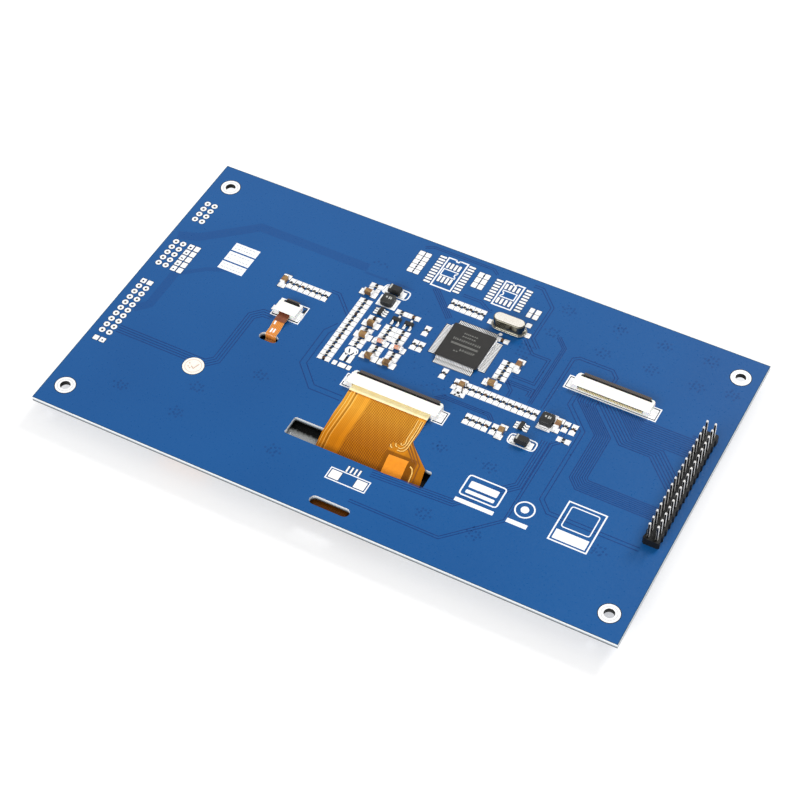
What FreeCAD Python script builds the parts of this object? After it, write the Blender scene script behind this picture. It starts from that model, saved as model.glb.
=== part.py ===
"""Seven inch touch display module, lying on its glass with the board uppermost.

Millimetres. The origin is under the middle of the module, at the front of the cover
glass. X runs along the long side of the board, Y from the near edge to the far edge
and Z up. Places on the board are given from the board's centre.
"""
import FreeCAD, Part
import math
import os

from FreeCAD import Vector as V

# Circuit board
board_length = 186.0
board_width = 110.2
board_thickness = 1.6
fixing_hole_diameter = 3.2
fixing_edge_x = 6.1
fixing_edge_y = 8.2
small_hole_sides = 6

# Round corners are drawn in flat steps; points closer than the small distance are one
corner_steps = 4
small_distance = 0.001

# Slots in the board, for the display's cable, the touch cable and a second display size
cable_slot_centre = (1.0, -29.5)
cable_slot_length = 44.6
cable_slot_width = 6.6
cable_slot_radius = 0.7
touch_slot_offset = -9.3
touch_slot_length = 6.2
touch_slot_width = 3.0
spare_slot_centre = (3.3, -50.05)
spare_slot_length = 12.6
spare_slot_width = 3.1

# Through-hole pads at the left edge: first row and number of rows, two columns each
pad_pitch = 2.54
pad_hole_diameter = 0.85
pad_column_edge = 3.55
pad_groups = [(37.1, 4), (18.3, 5), (-3.1, 9)]

# Glass and adhesive in front of the display
cover_margin_x = 10.5
cover_margin_y = 5.1
cover_thickness = 0.7
cover_corner_radius = 2.0
adhesive_thickness = 0.15
sensor_thickness = 0.55
sensor_margin = 0.8
gasket_thickness = 0.3
gasket_band = 3.0

# Display module
lcd_inset = 0.4
sheet_steel = 0.3
bezel_lip_x = 3.9
bezel_lip_y = 5.4
panel_glass_thickness = 0.5
panel_clearance = 0.4
panel_ledge = 4.0
polarizer_thickness = 0.2
polarizer_gap = 0.3
mould_depth = 1.9
mould_opening_step = 0.6
prism_thickness = 0.15
prism_count = 2
diffuser_thickness = 0.2
reflector_thickness = 0.2
led_strip_width = 2.4
led_strip_thickness = 0.15
led_strip_end_gap = 3.0
led_size = (3.0, 1.1, 0.7)
led_count = 12
led_end_gap = 6.5
driver_size = (13.0, 1.2, 0.28)
driver_count = 4
driver_end_gap = 24.0
driver_setback = 2.3
snap_count = 3
snap_length = 5.0
snap_height = 0.8
snap_lift = 0.5
snap_end_gap = 38.0

# Foam tape between the display and the board
tape_thickness = 0.9
tape_width = 4.0
tape_inset = 2.5
tape_cable_gap = 2.0

# Cable connectors with a lifting latch at the back
contact_pitch = 0.5
contact_width = 0.2
contact_thickness = 0.25
contact_setback = 0.7
contact_side_gap = 0.05
connector_end = 2.45
connector_depth = 4.0
connector_height = 2.0
mouth_floor = 0.5
mouth_height = 0.85
mouth_depth = 3.3
mouth_side_gap = 0.15
lead_in_lip = 0.12
arm_width = 1.5
arm_length = 1.5
arm_height = 1.5
latch_thickness = 1.1
latch_length = 1.35
latch_end_gap = 0.1
latch_back_gap = 0.25
latch_floor_gap = 0.4
trunnion_diameter = 0.6
trunnion_length = 0.5
trunnion_clearance = 0.06
trunnion_sides = 8
latch_chamfer = 0.35
arm_chamfer = 0.6
tab_size = (1.5, 1.9, 0.2)
display_contacts = 50
display_connector_place = (0.7, -9.0)
spare_contacts = 40
spare_connector_place = (56.8, 20.4)
touch_contacts = 6
touch_connector_place = (-43.6, 6.1)

# Flexible cables
flex_thickness = 0.12
flex_lift = 0.04
flex_side_gap = 0.5
fold_radius = 1.3
fold_reach = 1.5
stiffener_thickness = 0.18
cable_insertion = 3.0
bond_length = 1.6
display_flex_left = -11.0
display_flex_right = 22.0
display_flex_corner = 1.0
display_flex_neck = 9.6
display_slot_gaps = (0.3, 1.0)
display_flex_ramp = (6.0, 2.3)
display_flex_radii = [2.5, 1.5, 3.0, 3.0]
display_stiffener_reach = 1.7
touch_foot_width = 16.0
touch_foot_depth = 18.0
touch_foot_slope = 5.0
touch_slot_gap = 0.45
touch_flex_ramp = (5.5, 3.2)
touch_flex_radii = [0.6, 0.5, 2.0, 2.0]
touch_stiffener_reach = 2.9
touch_controller_setback = 11.0
touch_controller_size = (5.0, 5.0, 0.6)

# Pin header
header_row_count = 17
header_edge = 5.35
header_base_height = 2.5
header_notch = 0.45
pin_size = 0.64
pin_above_board = 8.5
pin_below_board = 1.5
pin_hole_size = 0.9

# Controller chip
controller_place = (10.3, 20.1)
controller_body = 14.0
controller_height = 1.55
controller_standoff = 0.1
controller_draft = 0.35
controller_corner = 0.8
controller_mark = 1.0
controller_mark_depth = 0.1
controller_mark_inset = 1.9
lead_pitch = 0.5
controller_lead_count = 25
lead_span = 16.0
lead_width = 0.22
lead_foot = 0.6
lead_thickness = 0.14

# Crystal
crystal_place = (18.35, 33.1)
crystal_flange = (11.0, 4.6)
crystal_can = (10.2, 3.8)
crystal_height = 4.0
crystal_rim = 0.4
crystal_flange_thickness = 0.35
crystal_base = (11.4, 4.9, 0.5)
crystal_tab = (3.9, 1.0, 0.2)
crystal_tab_span = 13.5

# Small parts on the board: sizes as length, width and height
resistor_size = (1.6, 0.8, 0.45)
capacitor_size = (3.2, 1.6, 1.5)
moulding_line = 0.45
diode_body = (4.3, 2.6, 2.1)
diode_draft = 0.3
diode_span = 5.2
diode_lead = (1.0, 1.5, 0.2)
diode_lead_height = 1.05
glass_diode_length = 3.5
glass_diode_diameter = 1.5
glass_diode_cap = 0.5
glass_diode_step = 0.1
glass_diode_sides = 12
inductor_body = (4.2, 4.2, 1.8)
inductor_span = 5.6
inductor_foot = (1.6, 3.0, 0.15)
inductor_chamfer = 0.6
transistor_body = (2.9, 1.3, 1.0)
transistor_draft = 0.12
transistor_standoff = 0.08
transistor_span = 2.5
transistor_pitch = 0.95
transistor_lead_width = 0.4
transistor_lead_foot = 0.3
transistor_shoulder = 0.45
sticker_place = (-57.6, -23.25)
sticker_diameter = 6.5
sticker_sides = 24
sticker_thickness = 0.08

# Rows of chip resistors: first place, step, count and the angle of the chip's length
resistor_rows = [
    ((-48.75, 19.25), (2.0, 0.0), 7, 90),
    ((-25.0, -2.6), (0.0, 1.98), 14, 0),
    ((-25.0, 30.2), (0.0, 2.0), 1, 0),
    ((-19.1, 18.1), (0.0, -5.2), 2, 0),
    ((-19.1, 8.3), (0.0, -2.0), 2, 0),
    ((-12.9, 23.9), (3.95, 0.0), 2, 0),
    ((-13.0, 16.9), (0.0, -2.0), 3, 0),
    ((-8.8, 16.9), (0.0, -2.0), 3, 0),
    ((-13.0, 7.9), (0.0, -1.9), 2, 0),
    ((-7.3, 7.9), (0.0, -1.9), 2, 0),
    ((-3.1, 20.8), (0.0, 0.0), 1, 90),
    ((-3.8, 14.3), (2.05, 0.0), 2, 90),
    ((9.15, 8.2), (0.0, 0.0), 1, 90),
    ((18.7, 27.9), (0.0, 0.0), 1, 0),
    ((24.4, 20.35), (0.0, -2.05), 4, 0),
    ((14.2, 6.2), (0.0, 0.0), 1, 90),
    ((16.4, 3.2), (0.0, 0.0), 1, 0),
    ((17.8, 6.2), (1.98, 0.0), 12, 90),
    ((49.5, 6.2), (2.4, 0.0), 2, 90),
    ((51.0, 1.3), (0.0, 0.0), 1, 0),
    ((23.0, -4.1), (2.0, 0.0), 4, 90),
    ((31.5, -4.1), (0.0, 0.0), 1, 90),
    ((-1.0, 34.3), (1.94, 0.0), 6, 90),
]
# Larger ceramic capacitors: place and angle
capacitor_places = [
    ((-51.0, 19.2), 90), ((-25.8, 26.5), 0), ((-19.0, 15.5), 0), ((-19.0, 10.4), 0),
    ((-13.5, 3.7), 0), ((-7.5, 3.7), 0), ((23.4, 11.0), 0), ((27.4, 20.9), 90),
    ((16.0, 6.0), 90), ((47.2, 5.7), 90), ((33.8, -4.0), 90),
]
diode_places = [((-18.8, 30.5), 0), ((40.7, -4.9), 0)]
glass_diode_places = [(-13.1, 10.4), (-7.4, 10.4)]
inductor_places = [((-18.75, 25.9), 0), ((43.9, 5.5), 90)]
# Small transistors and converters: place, angle and leads on each long side
transistor_places = [
    ((-12.9, 20.5), 0, (2, 1)), ((-8.8, 20.5), 0, (2, 1)),
    ((-18.8, 21.3), 90, (3, 3)), ((38.15, 0.5), 90, (3, 3)),
]

# Heights of the layers, from the glass up
z_adhesive = cover_thickness
z_sensor = z_adhesive + adhesive_thickness
z_gasket = z_sensor + sensor_thickness
z_bezel = z_gasket + gasket_thickness
z_filter = z_bezel + sheet_steel
z_tft = z_filter + panel_glass_thickness
z_mould = z_tft + panel_glass_thickness
z_rear = z_mould + mould_depth
z_rear_top = z_rear + sheet_steel
z_board = z_rear_top + tape_thickness
z_top = z_board + board_thickness

cover_length = board_length - 2 * cover_margin_x
cover_width = board_width - 2 * cover_margin_y
lcd_length = cover_length - 2 * lcd_inset
lcd_width = cover_width - 2 * lcd_inset
window_length = lcd_length - 2 * bezel_lip_x
window_width = lcd_width - 2 * bezel_lip_y
inner_length = lcd_length - 2 * sheet_steel
inner_width = lcd_width - 2 * sheet_steel
near_inside = -inner_width / 2


def box(centre, size, z):
    """A block centred on a place in plan, with its foot at z."""
    corner = V(centre[0] - size[0] / 2, centre[1] - size[1] / 2, z)
    return Part.makeBox(size[0], size[1], size[2], corner)


def span(x0, x1, y0, y1, z0, z1):
    """A block between two corners."""
    return Part.makeBox(x1 - x0, y1 - y0, z1 - z0, V(x0, y0, z0))


def prism(points, depth):
    """A solid from a closed outline of points, swept along a vector."""
    return Part.Face(Part.makePolygon(points + [points[0]])).extrude(depth)


def outline_plate(points, z, height):
    """A plate from an outline in plan."""
    return prism([V(x, y, z) for x, y in points], V(0, 0, height))


def rounded_outline(centre, length, width, radius):
    """Outline in plan with corners rounded in a few flat steps, to keep the model light."""
    half_x, half_y = length / 2 - radius, width / 2 - radius
    points = []
    for turn, (sx, sy) in enumerate([(1, 1), (-1, 1), (-1, -1), (1, -1)]):
        for step in range(corner_steps + 1):
            t = math.pi / 2 * (turn + step / corner_steps)
            point = (centre[0] + sx * half_x + radius * math.cos(t),
                     centre[1] + sy * half_y + radius * math.sin(t))
            if not points or math.dist(point, points[-1]) > small_distance:
                points.append(point)
    if math.dist(points[0], points[-1]) < small_distance:
        points.pop()
    return points


def rounded(centre, length, width, radius, z, height):
    """A plate with rounded corners, or with full round ends if the radius is half its width."""
    return outline_plate(rounded_outline(centre, length, width, radius), z, height)


def placed(shape, place, angle=0.0, z=0.0):
    """A copy turned about Z and moved to its place."""
    copy = shape.copy()
    copy.rotate(V(0, 0, 0), V(0, 0, 1), angle)
    copy.translate(V(place[0], place[1], z))
    return copy


def group(solids):
    """Separate solids kept together under one name."""
    return Part.makeCompound(solids)


def frustum(size, draft, z, height):
    """A moulded block centred on zero, whose four sides lean inwards by the draft."""
    x, y = size[0] / 2, size[1] / 2
    block = Part.makeWedge(-x, 0, -y, -y + draft, -x + draft, x, height, y, y - draft, x - draft)
    block.rotate(V(0, 0, 0), V(1, 0, 0), 90)
    block.translate(V(0, 0, z))
    return block


def many_sided(sides, diameter, height, place, z):
    """A small round form drawn with few flat sides, to keep the model light."""
    turns = [2 * math.pi * (i + 0.5) / sides for i in range(sides)]
    radius = diameter / 2 / math.cos(math.pi / sides)
    points = [V(place[0] + radius * math.cos(t), place[1] + radius * math.sin(t), z) for t in turns]
    return prism(points, V(0, 0, height))


def evenly(count, pitch):
    """Positions of a row centred on zero."""
    return [(i - (count - 1) / 2) * pitch for i in range(count)]


def between(count, length):
    """Positions of a row that fills a length, with its ends on the first and last."""
    return evenly(count, length / (count - 1))


def fixing_places():
    """The four fixing holes."""
    x = board_length / 2 - fixing_edge_x
    y = board_width / 2 - fixing_edge_y
    return [(-x, -y), (x, -y), (x, y), (-x, y)]


def pad_places():
    """Every through-hole of the pad groups at the left edge."""
    first = -board_length / 2 + pad_column_edge
    return [
        (first + column * pad_pitch, top - row * pad_pitch)
        for top, rows in pad_groups for row in range(rows) for column in range(2)
    ]


def header_places():
    """Every pin of the header, in two columns at the right edge."""
    middle = board_length / 2 - header_edge
    return [(middle + side * pad_pitch / 2, y)
            for side in (-1, 1) for y in evenly(header_row_count, pad_pitch)]


def touch_slot_centre():
    """The slot lies in line with the touch connector."""
    return (touch_connector_place[0], touch_connector_place[1] + touch_slot_offset)


def circuit_board():
    """Bare board with its fixing holes, slots and through-holes."""
    board = box((0, 0), (board_length, board_width, board_thickness), z_board)
    cuts = [Part.makeCylinder(fixing_hole_diameter / 2, board_thickness, V(x, y, z_board))
            for x, y in fixing_places()]
    cuts += [many_sided(small_hole_sides, pad_hole_diameter, board_thickness, place, z_board)
             for place in pad_places()]
    cuts += [box(place, (pin_hole_size, pin_hole_size, board_thickness), z_board)
             for place in header_places()]
    cuts.append(rounded(cable_slot_centre, cable_slot_length, cable_slot_width,
                        cable_slot_radius, z_board, board_thickness))
    cuts.append(rounded(touch_slot_centre(), touch_slot_length, touch_slot_width,
                        touch_slot_width / 2, z_board, board_thickness))
    cuts.append(rounded(spare_slot_centre, spare_slot_length, spare_slot_width,
                        spare_slot_width / 2, z_board, board_thickness))
    return board.cut(cuts)


def cover_glass():
    return rounded((0, 0), cover_length, cover_width, cover_corner_radius, 0, cover_thickness)


def optical_adhesive():
    size = (cover_length - 4 * sensor_margin, cover_width - 4 * sensor_margin, adhesive_thickness)
    return box((0, 0), size, z_adhesive)


def sensor_glass():
    size = (cover_length - 2 * sensor_margin, cover_width - 2 * sensor_margin, sensor_thickness)
    return box((0, 0), size, z_sensor)


def gasket():
    """Adhesive frame between the touch glass and the display, open for the touch cable."""
    length, width = lcd_length - sheet_steel, lcd_width - sheet_steel
    ring = box((0, 0), (length, width, gasket_thickness), z_gasket)
    hole = (length - 2 * gasket_band, width - 2 * gasket_band, gasket_thickness)
    ring = ring.cut(box((0, 0), hole, z_gasket))
    gap = touch_foot_width / 2 + flex_side_gap
    x = touch_connector_place[0]
    return ring.cut(span(x - gap, x + gap, -width, 0, z_gasket, z_bezel))


def lcd_bezel():
    """Folded steel front: a lip with the window and four walls, open for the cable."""
    shell = box((0, 0), (lcd_length, lcd_width, z_rear_top - z_bezel), z_bezel)
    hollow = box((0, 0), (inner_length, inner_width, z_rear_top - z_filter), z_filter)
    window = box((0, 0), (window_length, window_width, sheet_steel), z_bezel)
    notch = span(display_flex_left - flex_side_gap, display_flex_right + flex_side_gap,
                 -lcd_width, near_inside, z_filter, z_rear_top)
    snaps = [span(x - snap_length / 2, x + snap_length / 2, near_inside + inner_width, lcd_width,
                  z_mould + snap_lift, z_mould + snap_lift + snap_height)
             for x in between(snap_count, inner_length - 2 * snap_end_gap)]
    return shell.cut([hollow, window, notch] + snaps)


def polarizer(z):
    """Film that fills the window of the display."""
    size = (window_length - 2 * polarizer_gap, window_width - 2 * polarizer_gap, polarizer_thickness)
    return box((0, 0), size, z)


def panel(z, near_setback):
    """One of the two panel glasses, set back from the near wall of the bezel."""
    half = inner_length / 2 - panel_clearance
    near = near_inside + panel_clearance + near_setback
    return span(-half, half, near, -near_inside - panel_clearance, z, z + panel_glass_thickness)


def driver_chips():
    """Driver chips bonded face down on the ledge of the larger glass."""
    y = near_inside + panel_clearance + driver_setback + driver_size[1] / 2
    return group([box((x, y), driver_size, z_tft - driver_size[2])
                  for x in between(driver_count, inner_length - 2 * driver_end_gap)])


def optical_opening():
    """Length and width of the hollow in the moulded frame, where the sheets lie."""
    return window_length + mould_opening_step, window_width + mould_opening_step


def mould_frame():
    """Moulded frame that holds the sheets and the light guide."""
    length, width = optical_opening()
    ring = box((0, 0), (inner_length, inner_width, mould_depth), z_mould)
    return ring.cut(box((0, 0), (length, width, mould_depth), z_mould))


def sheet(z, thickness, near_setback=0.0):
    """An optical sheet that lies in the moulded frame with a little play."""
    length, width = optical_opening()
    x, y = length / 2 - polarizer_gap, width / 2 - polarizer_gap
    return span(-x, x, -y + near_setback, y, z, z + thickness)


def stack_heights():
    """Foot of each layer in the moulded frame, from the polarizer to the reflector."""
    prism_foot = z_mould + polarizer_thickness
    diffuser_foot = prism_foot + prism_count * prism_thickness
    guide_foot = diffuser_foot + diffuser_thickness
    reflector_foot = z_rear - reflector_thickness
    return prism_foot, diffuser_foot, guide_foot, reflector_foot


def prism_sheets():
    foot = stack_heights()[0]
    return group([sheet(foot + i * prism_thickness, prism_thickness) for i in range(prism_count)])


def diffuser():
    return sheet(stack_heights()[1], diffuser_thickness)


def light_guide():
    _, _, foot, top = stack_heights()
    return sheet(foot, top - foot, led_strip_width)


def reflector():
    return sheet(stack_heights()[3], reflector_thickness, led_strip_width)


def led_strip():
    """Narrow flexible board along the near side, under the rear plate."""
    length, width = optical_opening()
    size = (length - 2 * led_strip_end_gap, led_strip_width - 2 * polarizer_gap, led_strip_thickness)
    y = -width / 2 + led_strip_width / 2
    return box((0, y), size, z_rear - led_strip_thickness)


def backlight_leds():
    """Side-view lamps on the strip, against the edge of the light guide."""
    length, width = optical_opening()
    y = -width / 2 + polarizer_gap + led_strip_width - led_size[1] / 2
    z = z_rear - led_strip_thickness - led_size[2]
    return group([box((x, y), led_size, z) for x in between(led_count, length - 2 * led_end_gap)])


def rear_plate():
    return box((0, 0), (inner_length, inner_width, sheet_steel), z_rear)


def foam_tapes():
    """Strips that hold the board to the back of the display, clear of both cables."""
    x = inner_length / 2 - tape_inset
    y = inner_width / 2 - tape_inset
    left_gap = touch_connector_place[0] - touch_foot_width / 2 - tape_cable_gap
    strips = [
        span(-x, x, y - tape_width, y, z_rear_top, z_board),
        span(-x, -x + tape_width, -y + tape_width, y - tape_width, z_rear_top, z_board),
        span(x - tape_width, x, -y + tape_width, y - tape_width, z_rear_top, z_board),
        span(-x, left_gap, -y, -y + tape_width, z_rear_top, z_board),
        span(display_flex_right + tape_cable_gap, x, -y, -y + tape_width, z_rear_top, z_board),
    ]
    return group(strips)


def connector_width(contacts):
    """Overall width of a cable connector with so many contacts."""
    return (contacts - 1) * contact_pitch + 2 * connector_end


def cable_width(contacts):
    """Width of the flexible cable that such a connector takes."""
    return (contacts + 1) * contact_pitch


def pivot_place():
    """Latch axis in a connector, behind its mouth and above the board."""
    y = connector_depth + latch_back_gap + latch_thickness / 2
    return y, latch_floor_gap + latch_thickness / 2


def connector_housing(contacts):
    """Moulded housing: mouth with a lead-in, well for the contacts and two arms."""
    width = connector_width(contacts)
    row = (contacts - 1) * contact_pitch + contact_width + 2 * contact_side_gap
    mouth = cable_width(contacts) + 2 * mouth_side_gap
    roof = mouth_floor + mouth_height
    well = mouth_depth + contact_thickness + contact_side_gap
    body = span(-width / 2, width / 2, 0, connector_depth, 0, connector_height)
    lead_in = prism([V(-mouth / 2, 0, roof), V(-mouth / 2, mouth_height, roof),
                     V(-mouth / 2, 0, connector_height - lead_in_lip)], V(mouth, 0, 0))
    body = body.cut([
        span(-mouth / 2, mouth / 2, 0, mouth_depth, mouth_floor, roof),
        lead_in,
        span(-row / 2, row / 2, mouth_depth, well, 0, roof),
    ])
    arms = [connector_arm(width / 2, side) for side in (-1, 1)]
    return body.fuse(arms).removeSplitter()


def connector_arm(outer, side):
    """Arm at one end of the housing, with a slot that the latch's pin drops into."""
    inner = outer - arm_width
    back = connector_depth + arm_length
    points = [(inner, connector_depth), (outer, connector_depth), (outer, back - arm_chamfer),
              (outer - arm_chamfer, back), (inner, back)]
    arm = outline_plate([(side * x, y) for x, y in points], 0, arm_height)
    y, z = pivot_place()
    reach = trunnion_diameter / 2 + trunnion_clearance
    end = inner + trunnion_length
    slot = span(min(side * inner, side * end), max(side * inner, side * end),
                y - reach, y + reach, z - reach, arm_height)
    return arm.cut(slot)


def connector_contacts(contacts):
    """Row of contacts: a rising beam in the mouth and a leg down to the board behind it."""
    leg = mouth_depth + contact_thickness
    profile = [(contact_setback, mouth_floor), (mouth_depth, mouth_floor), (mouth_depth, 0),
               (leg, 0), (leg, mouth_floor + contact_thickness)]
    contact = prism([V(0, y, z) for y, z in profile], V(contact_width, 0, 0))
    return group([placed(contact, (x - contact_width / 2, 0))
                  for x in evenly(contacts, contact_pitch)])


def connector_latch(contacts):
    """Lifting bar with a round front edge about its axis and a pin at each end."""
    half = connector_width(contacts) / 2 - arm_width - latch_end_gap
    y, z = pivot_place()
    r = latch_thickness / 2
    back = y + latch_length
    edges = [
        Part.Arc(V(-half, y, z + r), V(-half, y - r, z), V(-half, y, z - r)).toShape(),
        Part.makeLine(V(-half, y, z - r), V(-half, back - latch_chamfer, z - r)),
        Part.makeLine(V(-half, back - latch_chamfer, z - r), V(-half, back, z - r + latch_chamfer)),
        Part.makeLine(V(-half, back, z - r + latch_chamfer), V(-half, back, z + r)),
        Part.makeLine(V(-half, back, z + r), V(-half, y, z + r)),
    ]
    bar = Part.Face(Part.Wire(edges)).extrude(V(2 * half, 0, 0))
    pin = many_sided(trunnion_sides, trunnion_diameter * math.cos(math.pi / trunnion_sides),
                     2 * (half + trunnion_length), (0, 0), -half - trunnion_length)
    pin.rotate(V(0, 0, 0), V(0, 1, 0), 90)
    pin.translate(V(0, y, z))
    return bar.fuse(pin).removeSplitter()


def connector_tabs(contacts):
    """Soldered tabs beside both ends of the housing."""
    x = connector_width(contacts) / 2 + tab_size[0] / 2
    return group([box((side * x, connector_depth / 2), tab_size, 0) for side in (-1, 1)])


def connector(name, contacts, place):
    """All pieces of one cable connector, keyed by their node names."""
    pieces = {
        "housing": connector_housing(contacts),
        "contacts": connector_contacts(contacts),
        "latch": connector_latch(contacts),
        "tabs": connector_tabs(contacts),
    }
    return {f"{name}_{key}": placed(shape, place, 0, z_top) for key, shape in pieces.items()}


def ribbon(corners, radii, thickness, x0, x1):
    """A bent sheet: corners of its middle line in Y and Z, with a radius at each bend."""
    def normal(a, b):
        d = V(0, b[0] - a[0], b[1] - a[1]).normalize()
        return V(0, -d.z, d.y)

    keys = [(V(x0, *corners[0]), normal(corners[0], corners[1]), "line")]
    for before, corner, after, radius in zip(corners, corners[1:], corners[2:], radii):
        n_in, n_out = normal(before, corner), normal(corner, after)
        at = V(x0, *corner)
        d_in, d_out = V(0, n_in.z, -n_in.y), V(0, n_out.z, -n_out.y)
        turn = n_in.getAngle(n_out)
        cut = radius * math.tan(turn / 2)
        n_mid = (n_in + n_out).normalize()
        bend = 1 if n_in.cross(n_out).x > 0 else -1
        centre = at - d_in * cut + n_in * bend * radius
        keys.append((at - d_in * cut, n_in, "line"))
        keys.append((centre - n_mid * bend * radius, n_mid, "arc"))
        keys.append((at + d_out * cut, n_out, "line"))
    keys.append((V(x0, *corners[-1]), normal(corners[-2], corners[-1]), "line"))

    def side(offset):
        points = [p + n * offset for p, n, _ in keys]
        edges, i = [], 0
        while i < len(points) - 1:
            if keys[i + 1][2] == "arc":
                edges.append(Part.Arc(points[i], points[i + 1], points[i + 2]).toShape())
                i += 2
            else:
                edges.append(Part.makeLine(points[i], points[i + 1]))
                i += 1
        return edges, points[0], points[-1]

    left, left_start, left_end = side(thickness / 2)
    right, right_start, right_end = side(-thickness / 2)
    closing = [Part.makeLine(left_start, right_start), Part.makeLine(left_end, right_end)]
    wire = Part.Wire(Part.__sortEdges__(left + right + closing))
    return Part.Face(wire).extrude(V(x1 - x0, 0, 0))


def cable_height_in_mouth():
    """Middle of a cable where it lies on the contacts."""
    return z_top + mouth_floor + contact_thickness + flex_thickness / 2


def display_flex():
    """Cable of the display: bonded under its glass, folded round the near edge, through
    the slot and into the connector."""
    mouth_x, mouth_y = display_connector_place
    under = z_tft - flex_thickness / 2
    back = z_rear_top + flex_thickness / 2 + flex_lift
    over = z_top + flex_thickness / 2 + flex_lift
    fold = -lcd_width / 2 - fold_reach
    low = cable_slot_centre[1] - cable_slot_width / 2 - display_slot_gaps[0]
    high = cable_slot_centre[1] + cable_slot_width / 2 - display_slot_gaps[1]
    leave, arrive = display_flex_ramp
    corners = [
        (near_inside + panel_clearance + bond_length, under), (fold, under), (fold, back),
        (low, back), (high, over), (mouth_y - leave, over),
        (mouth_y - arrive, cable_height_in_mouth()),
        (mouth_y + cable_insertion, cable_height_in_mouth()),
    ]
    radii = [fold_radius, fold_radius] + display_flex_radii
    strip = ribbon(corners, radii, flex_thickness, -board_length / 2, board_length / 2)
    half = cable_width(display_contacts) / 2
    left, right = mouth_x - half, mouth_x + half
    neck, end = mouth_y - display_flex_neck, mouth_y + connector_depth
    outline = [
        (left, end), (right, end), (right, neck),
        (display_flex_right - display_flex_corner, high), (display_flex_right, low),
        (display_flex_right, -board_width), (display_flex_left, -board_width),
        (display_flex_left, low), (left, neck),
    ]
    return strip.common(outline_plate(outline, 0, z_top + connector_height))


def display_stiffener():
    """Stiffening strip on the cable's end."""
    half = cable_width(display_contacts) / 2
    x, y = display_connector_place
    z = cable_height_in_mouth() + flex_thickness / 2
    return span(x - half, x + half, y - display_stiffener_reach, y + cable_insertion, z,
                z + stiffener_thickness)


def touch_flex():
    """Cable of the touch glass: bonded to its back, folded round the near edge, along
    the back of the display and up through its slot."""
    mouth_x, mouth_y = touch_connector_place
    under = z_gasket + flex_thickness / 2
    back = z_rear_top + flex_thickness / 2 + flex_lift
    over = z_top + flex_thickness / 2 + flex_lift
    fold = -cover_width / 2 - fold_reach
    rise = touch_slot_centre()[1] + touch_slot_width / 2 - touch_slot_gap
    leave, arrive = touch_flex_ramp
    corners = [
        (near_inside + bond_length, under), (fold, under), (fold, back), (rise, back),
        (rise, over), (mouth_y - leave, over), (mouth_y - arrive, cable_height_in_mouth()),
        (mouth_y + cable_insertion, cable_height_in_mouth()),
    ]
    radii = [fold_radius, fold_radius] + touch_flex_radii
    foot = touch_foot_width / 2
    strip = ribbon(corners, radii, flex_thickness, mouth_x - foot - 1, mouth_x + foot + 1)
    half = cable_width(touch_contacts) / 2
    foot_back = near_inside + touch_foot_depth
    neck, end = foot_back + touch_foot_slope, mouth_y + connector_depth
    outline = [
        (mouth_x - half, end), (mouth_x + half, end), (mouth_x + half, neck),
        (mouth_x + foot, foot_back), (mouth_x + foot, -board_width),
        (mouth_x - foot, -board_width), (mouth_x - foot, foot_back), (mouth_x - half, neck),
    ]
    return strip.common(outline_plate(outline, 0, z_top + connector_height))


def touch_stiffener():
    half = cable_width(touch_contacts) / 2
    x, y = touch_connector_place
    z = cable_height_in_mouth() + flex_thickness / 2
    return span(x - half, x + half, y - touch_stiffener_reach, y + cable_insertion, z,
                z + stiffener_thickness)


def touch_controller():
    """Flat controller chip on the wide foot of the touch cable."""
    z = z_rear_top + flex_lift + flex_thickness
    place = (touch_connector_place[0], near_inside + touch_controller_setback)
    return box(place, touch_controller_size, z)


def header_base():
    """Moulded base with notched sides and a square hole at every pin."""
    x = board_length / 2 - header_edge
    side = x + pad_pitch
    rows = evenly(header_row_count, pad_pitch)
    edge = pad_pitch / 2
    right = []
    for y in rows:
        right += [(side - header_notch, y - edge), (side, y - edge + header_notch)]
    right += [(side, rows[-1] + edge - header_notch), (side - header_notch, rows[-1] + edge)]
    left = [(2 * x - px, py) for px, py in reversed(right)]
    base = outline_plate(right + left, z_top, header_base_height)
    holes = [box(place, (pin_size, pin_size, header_base_height), z_top)
             for place in header_places()]
    return base.cut(holes)


def header_pins():
    """Square pins through the base and the board."""
    foot = z_board - pin_below_board
    size = (pin_size, pin_size, z_top + pin_above_board - foot)
    return group([box(place, size, foot) for place in header_places()])


def controller_chip():
    """Moulded square body, widest at the leads, with one corner mark."""
    def ring(inset, level):
        a = controller_body / 2 - inset
        c = controller_corner
        points = [(-a + c, -a), (a - c, -a), (a, -a + c), (a, a - c),
                  (a - c, a), (-a + c, a), (-a, a - c), (-a, -a + c)]
        corners = [V(x, y, level) for x, y in points]
        return Part.makePolygon(corners + [corners[0]])
    foot, top = controller_standoff, controller_height
    middle = (foot + top) / 2
    body = Part.makeLoft([ring(controller_draft, foot), ring(0, middle)], True, True)
    body = body.fuse(Part.makeLoft([ring(0, middle), ring(controller_draft, top)], True, True))
    corner = controller_body / 2 - controller_mark_inset
    mark = many_sided(sticker_sides // 2, controller_mark, controller_mark_depth,
                      (corner, corner), top - controller_mark_depth)
    return placed(body.removeSplitter().cut(mark), controller_place, 0, z_top)


def gull_lead(root, tip, shoulder, width, foot):
    """A lead in the X direction: down from the body at root to a foot on the board."""
    profile = [(root, shoulder), (root, shoulder + lead_thickness), (tip, lead_thickness),
               (tip, 0), (tip - foot, 0)]
    return prism([V(x, -width / 2, z) for x, z in profile], V(0, width, 0))


def controller_leads():
    shoulder = (controller_standoff + controller_height - lead_thickness) / 2
    lead = gull_lead(controller_body / 2, lead_span / 2, shoulder, lead_width, lead_foot)
    leads = []
    for turn in range(4):
        for offset in evenly(controller_lead_count, lead_pitch):
            one = placed(lead, (0, offset))
            leads.append(placed(one, (0, 0), 90.0 * turn))
    return placed(group(leads), controller_place, 0, z_top)


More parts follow.
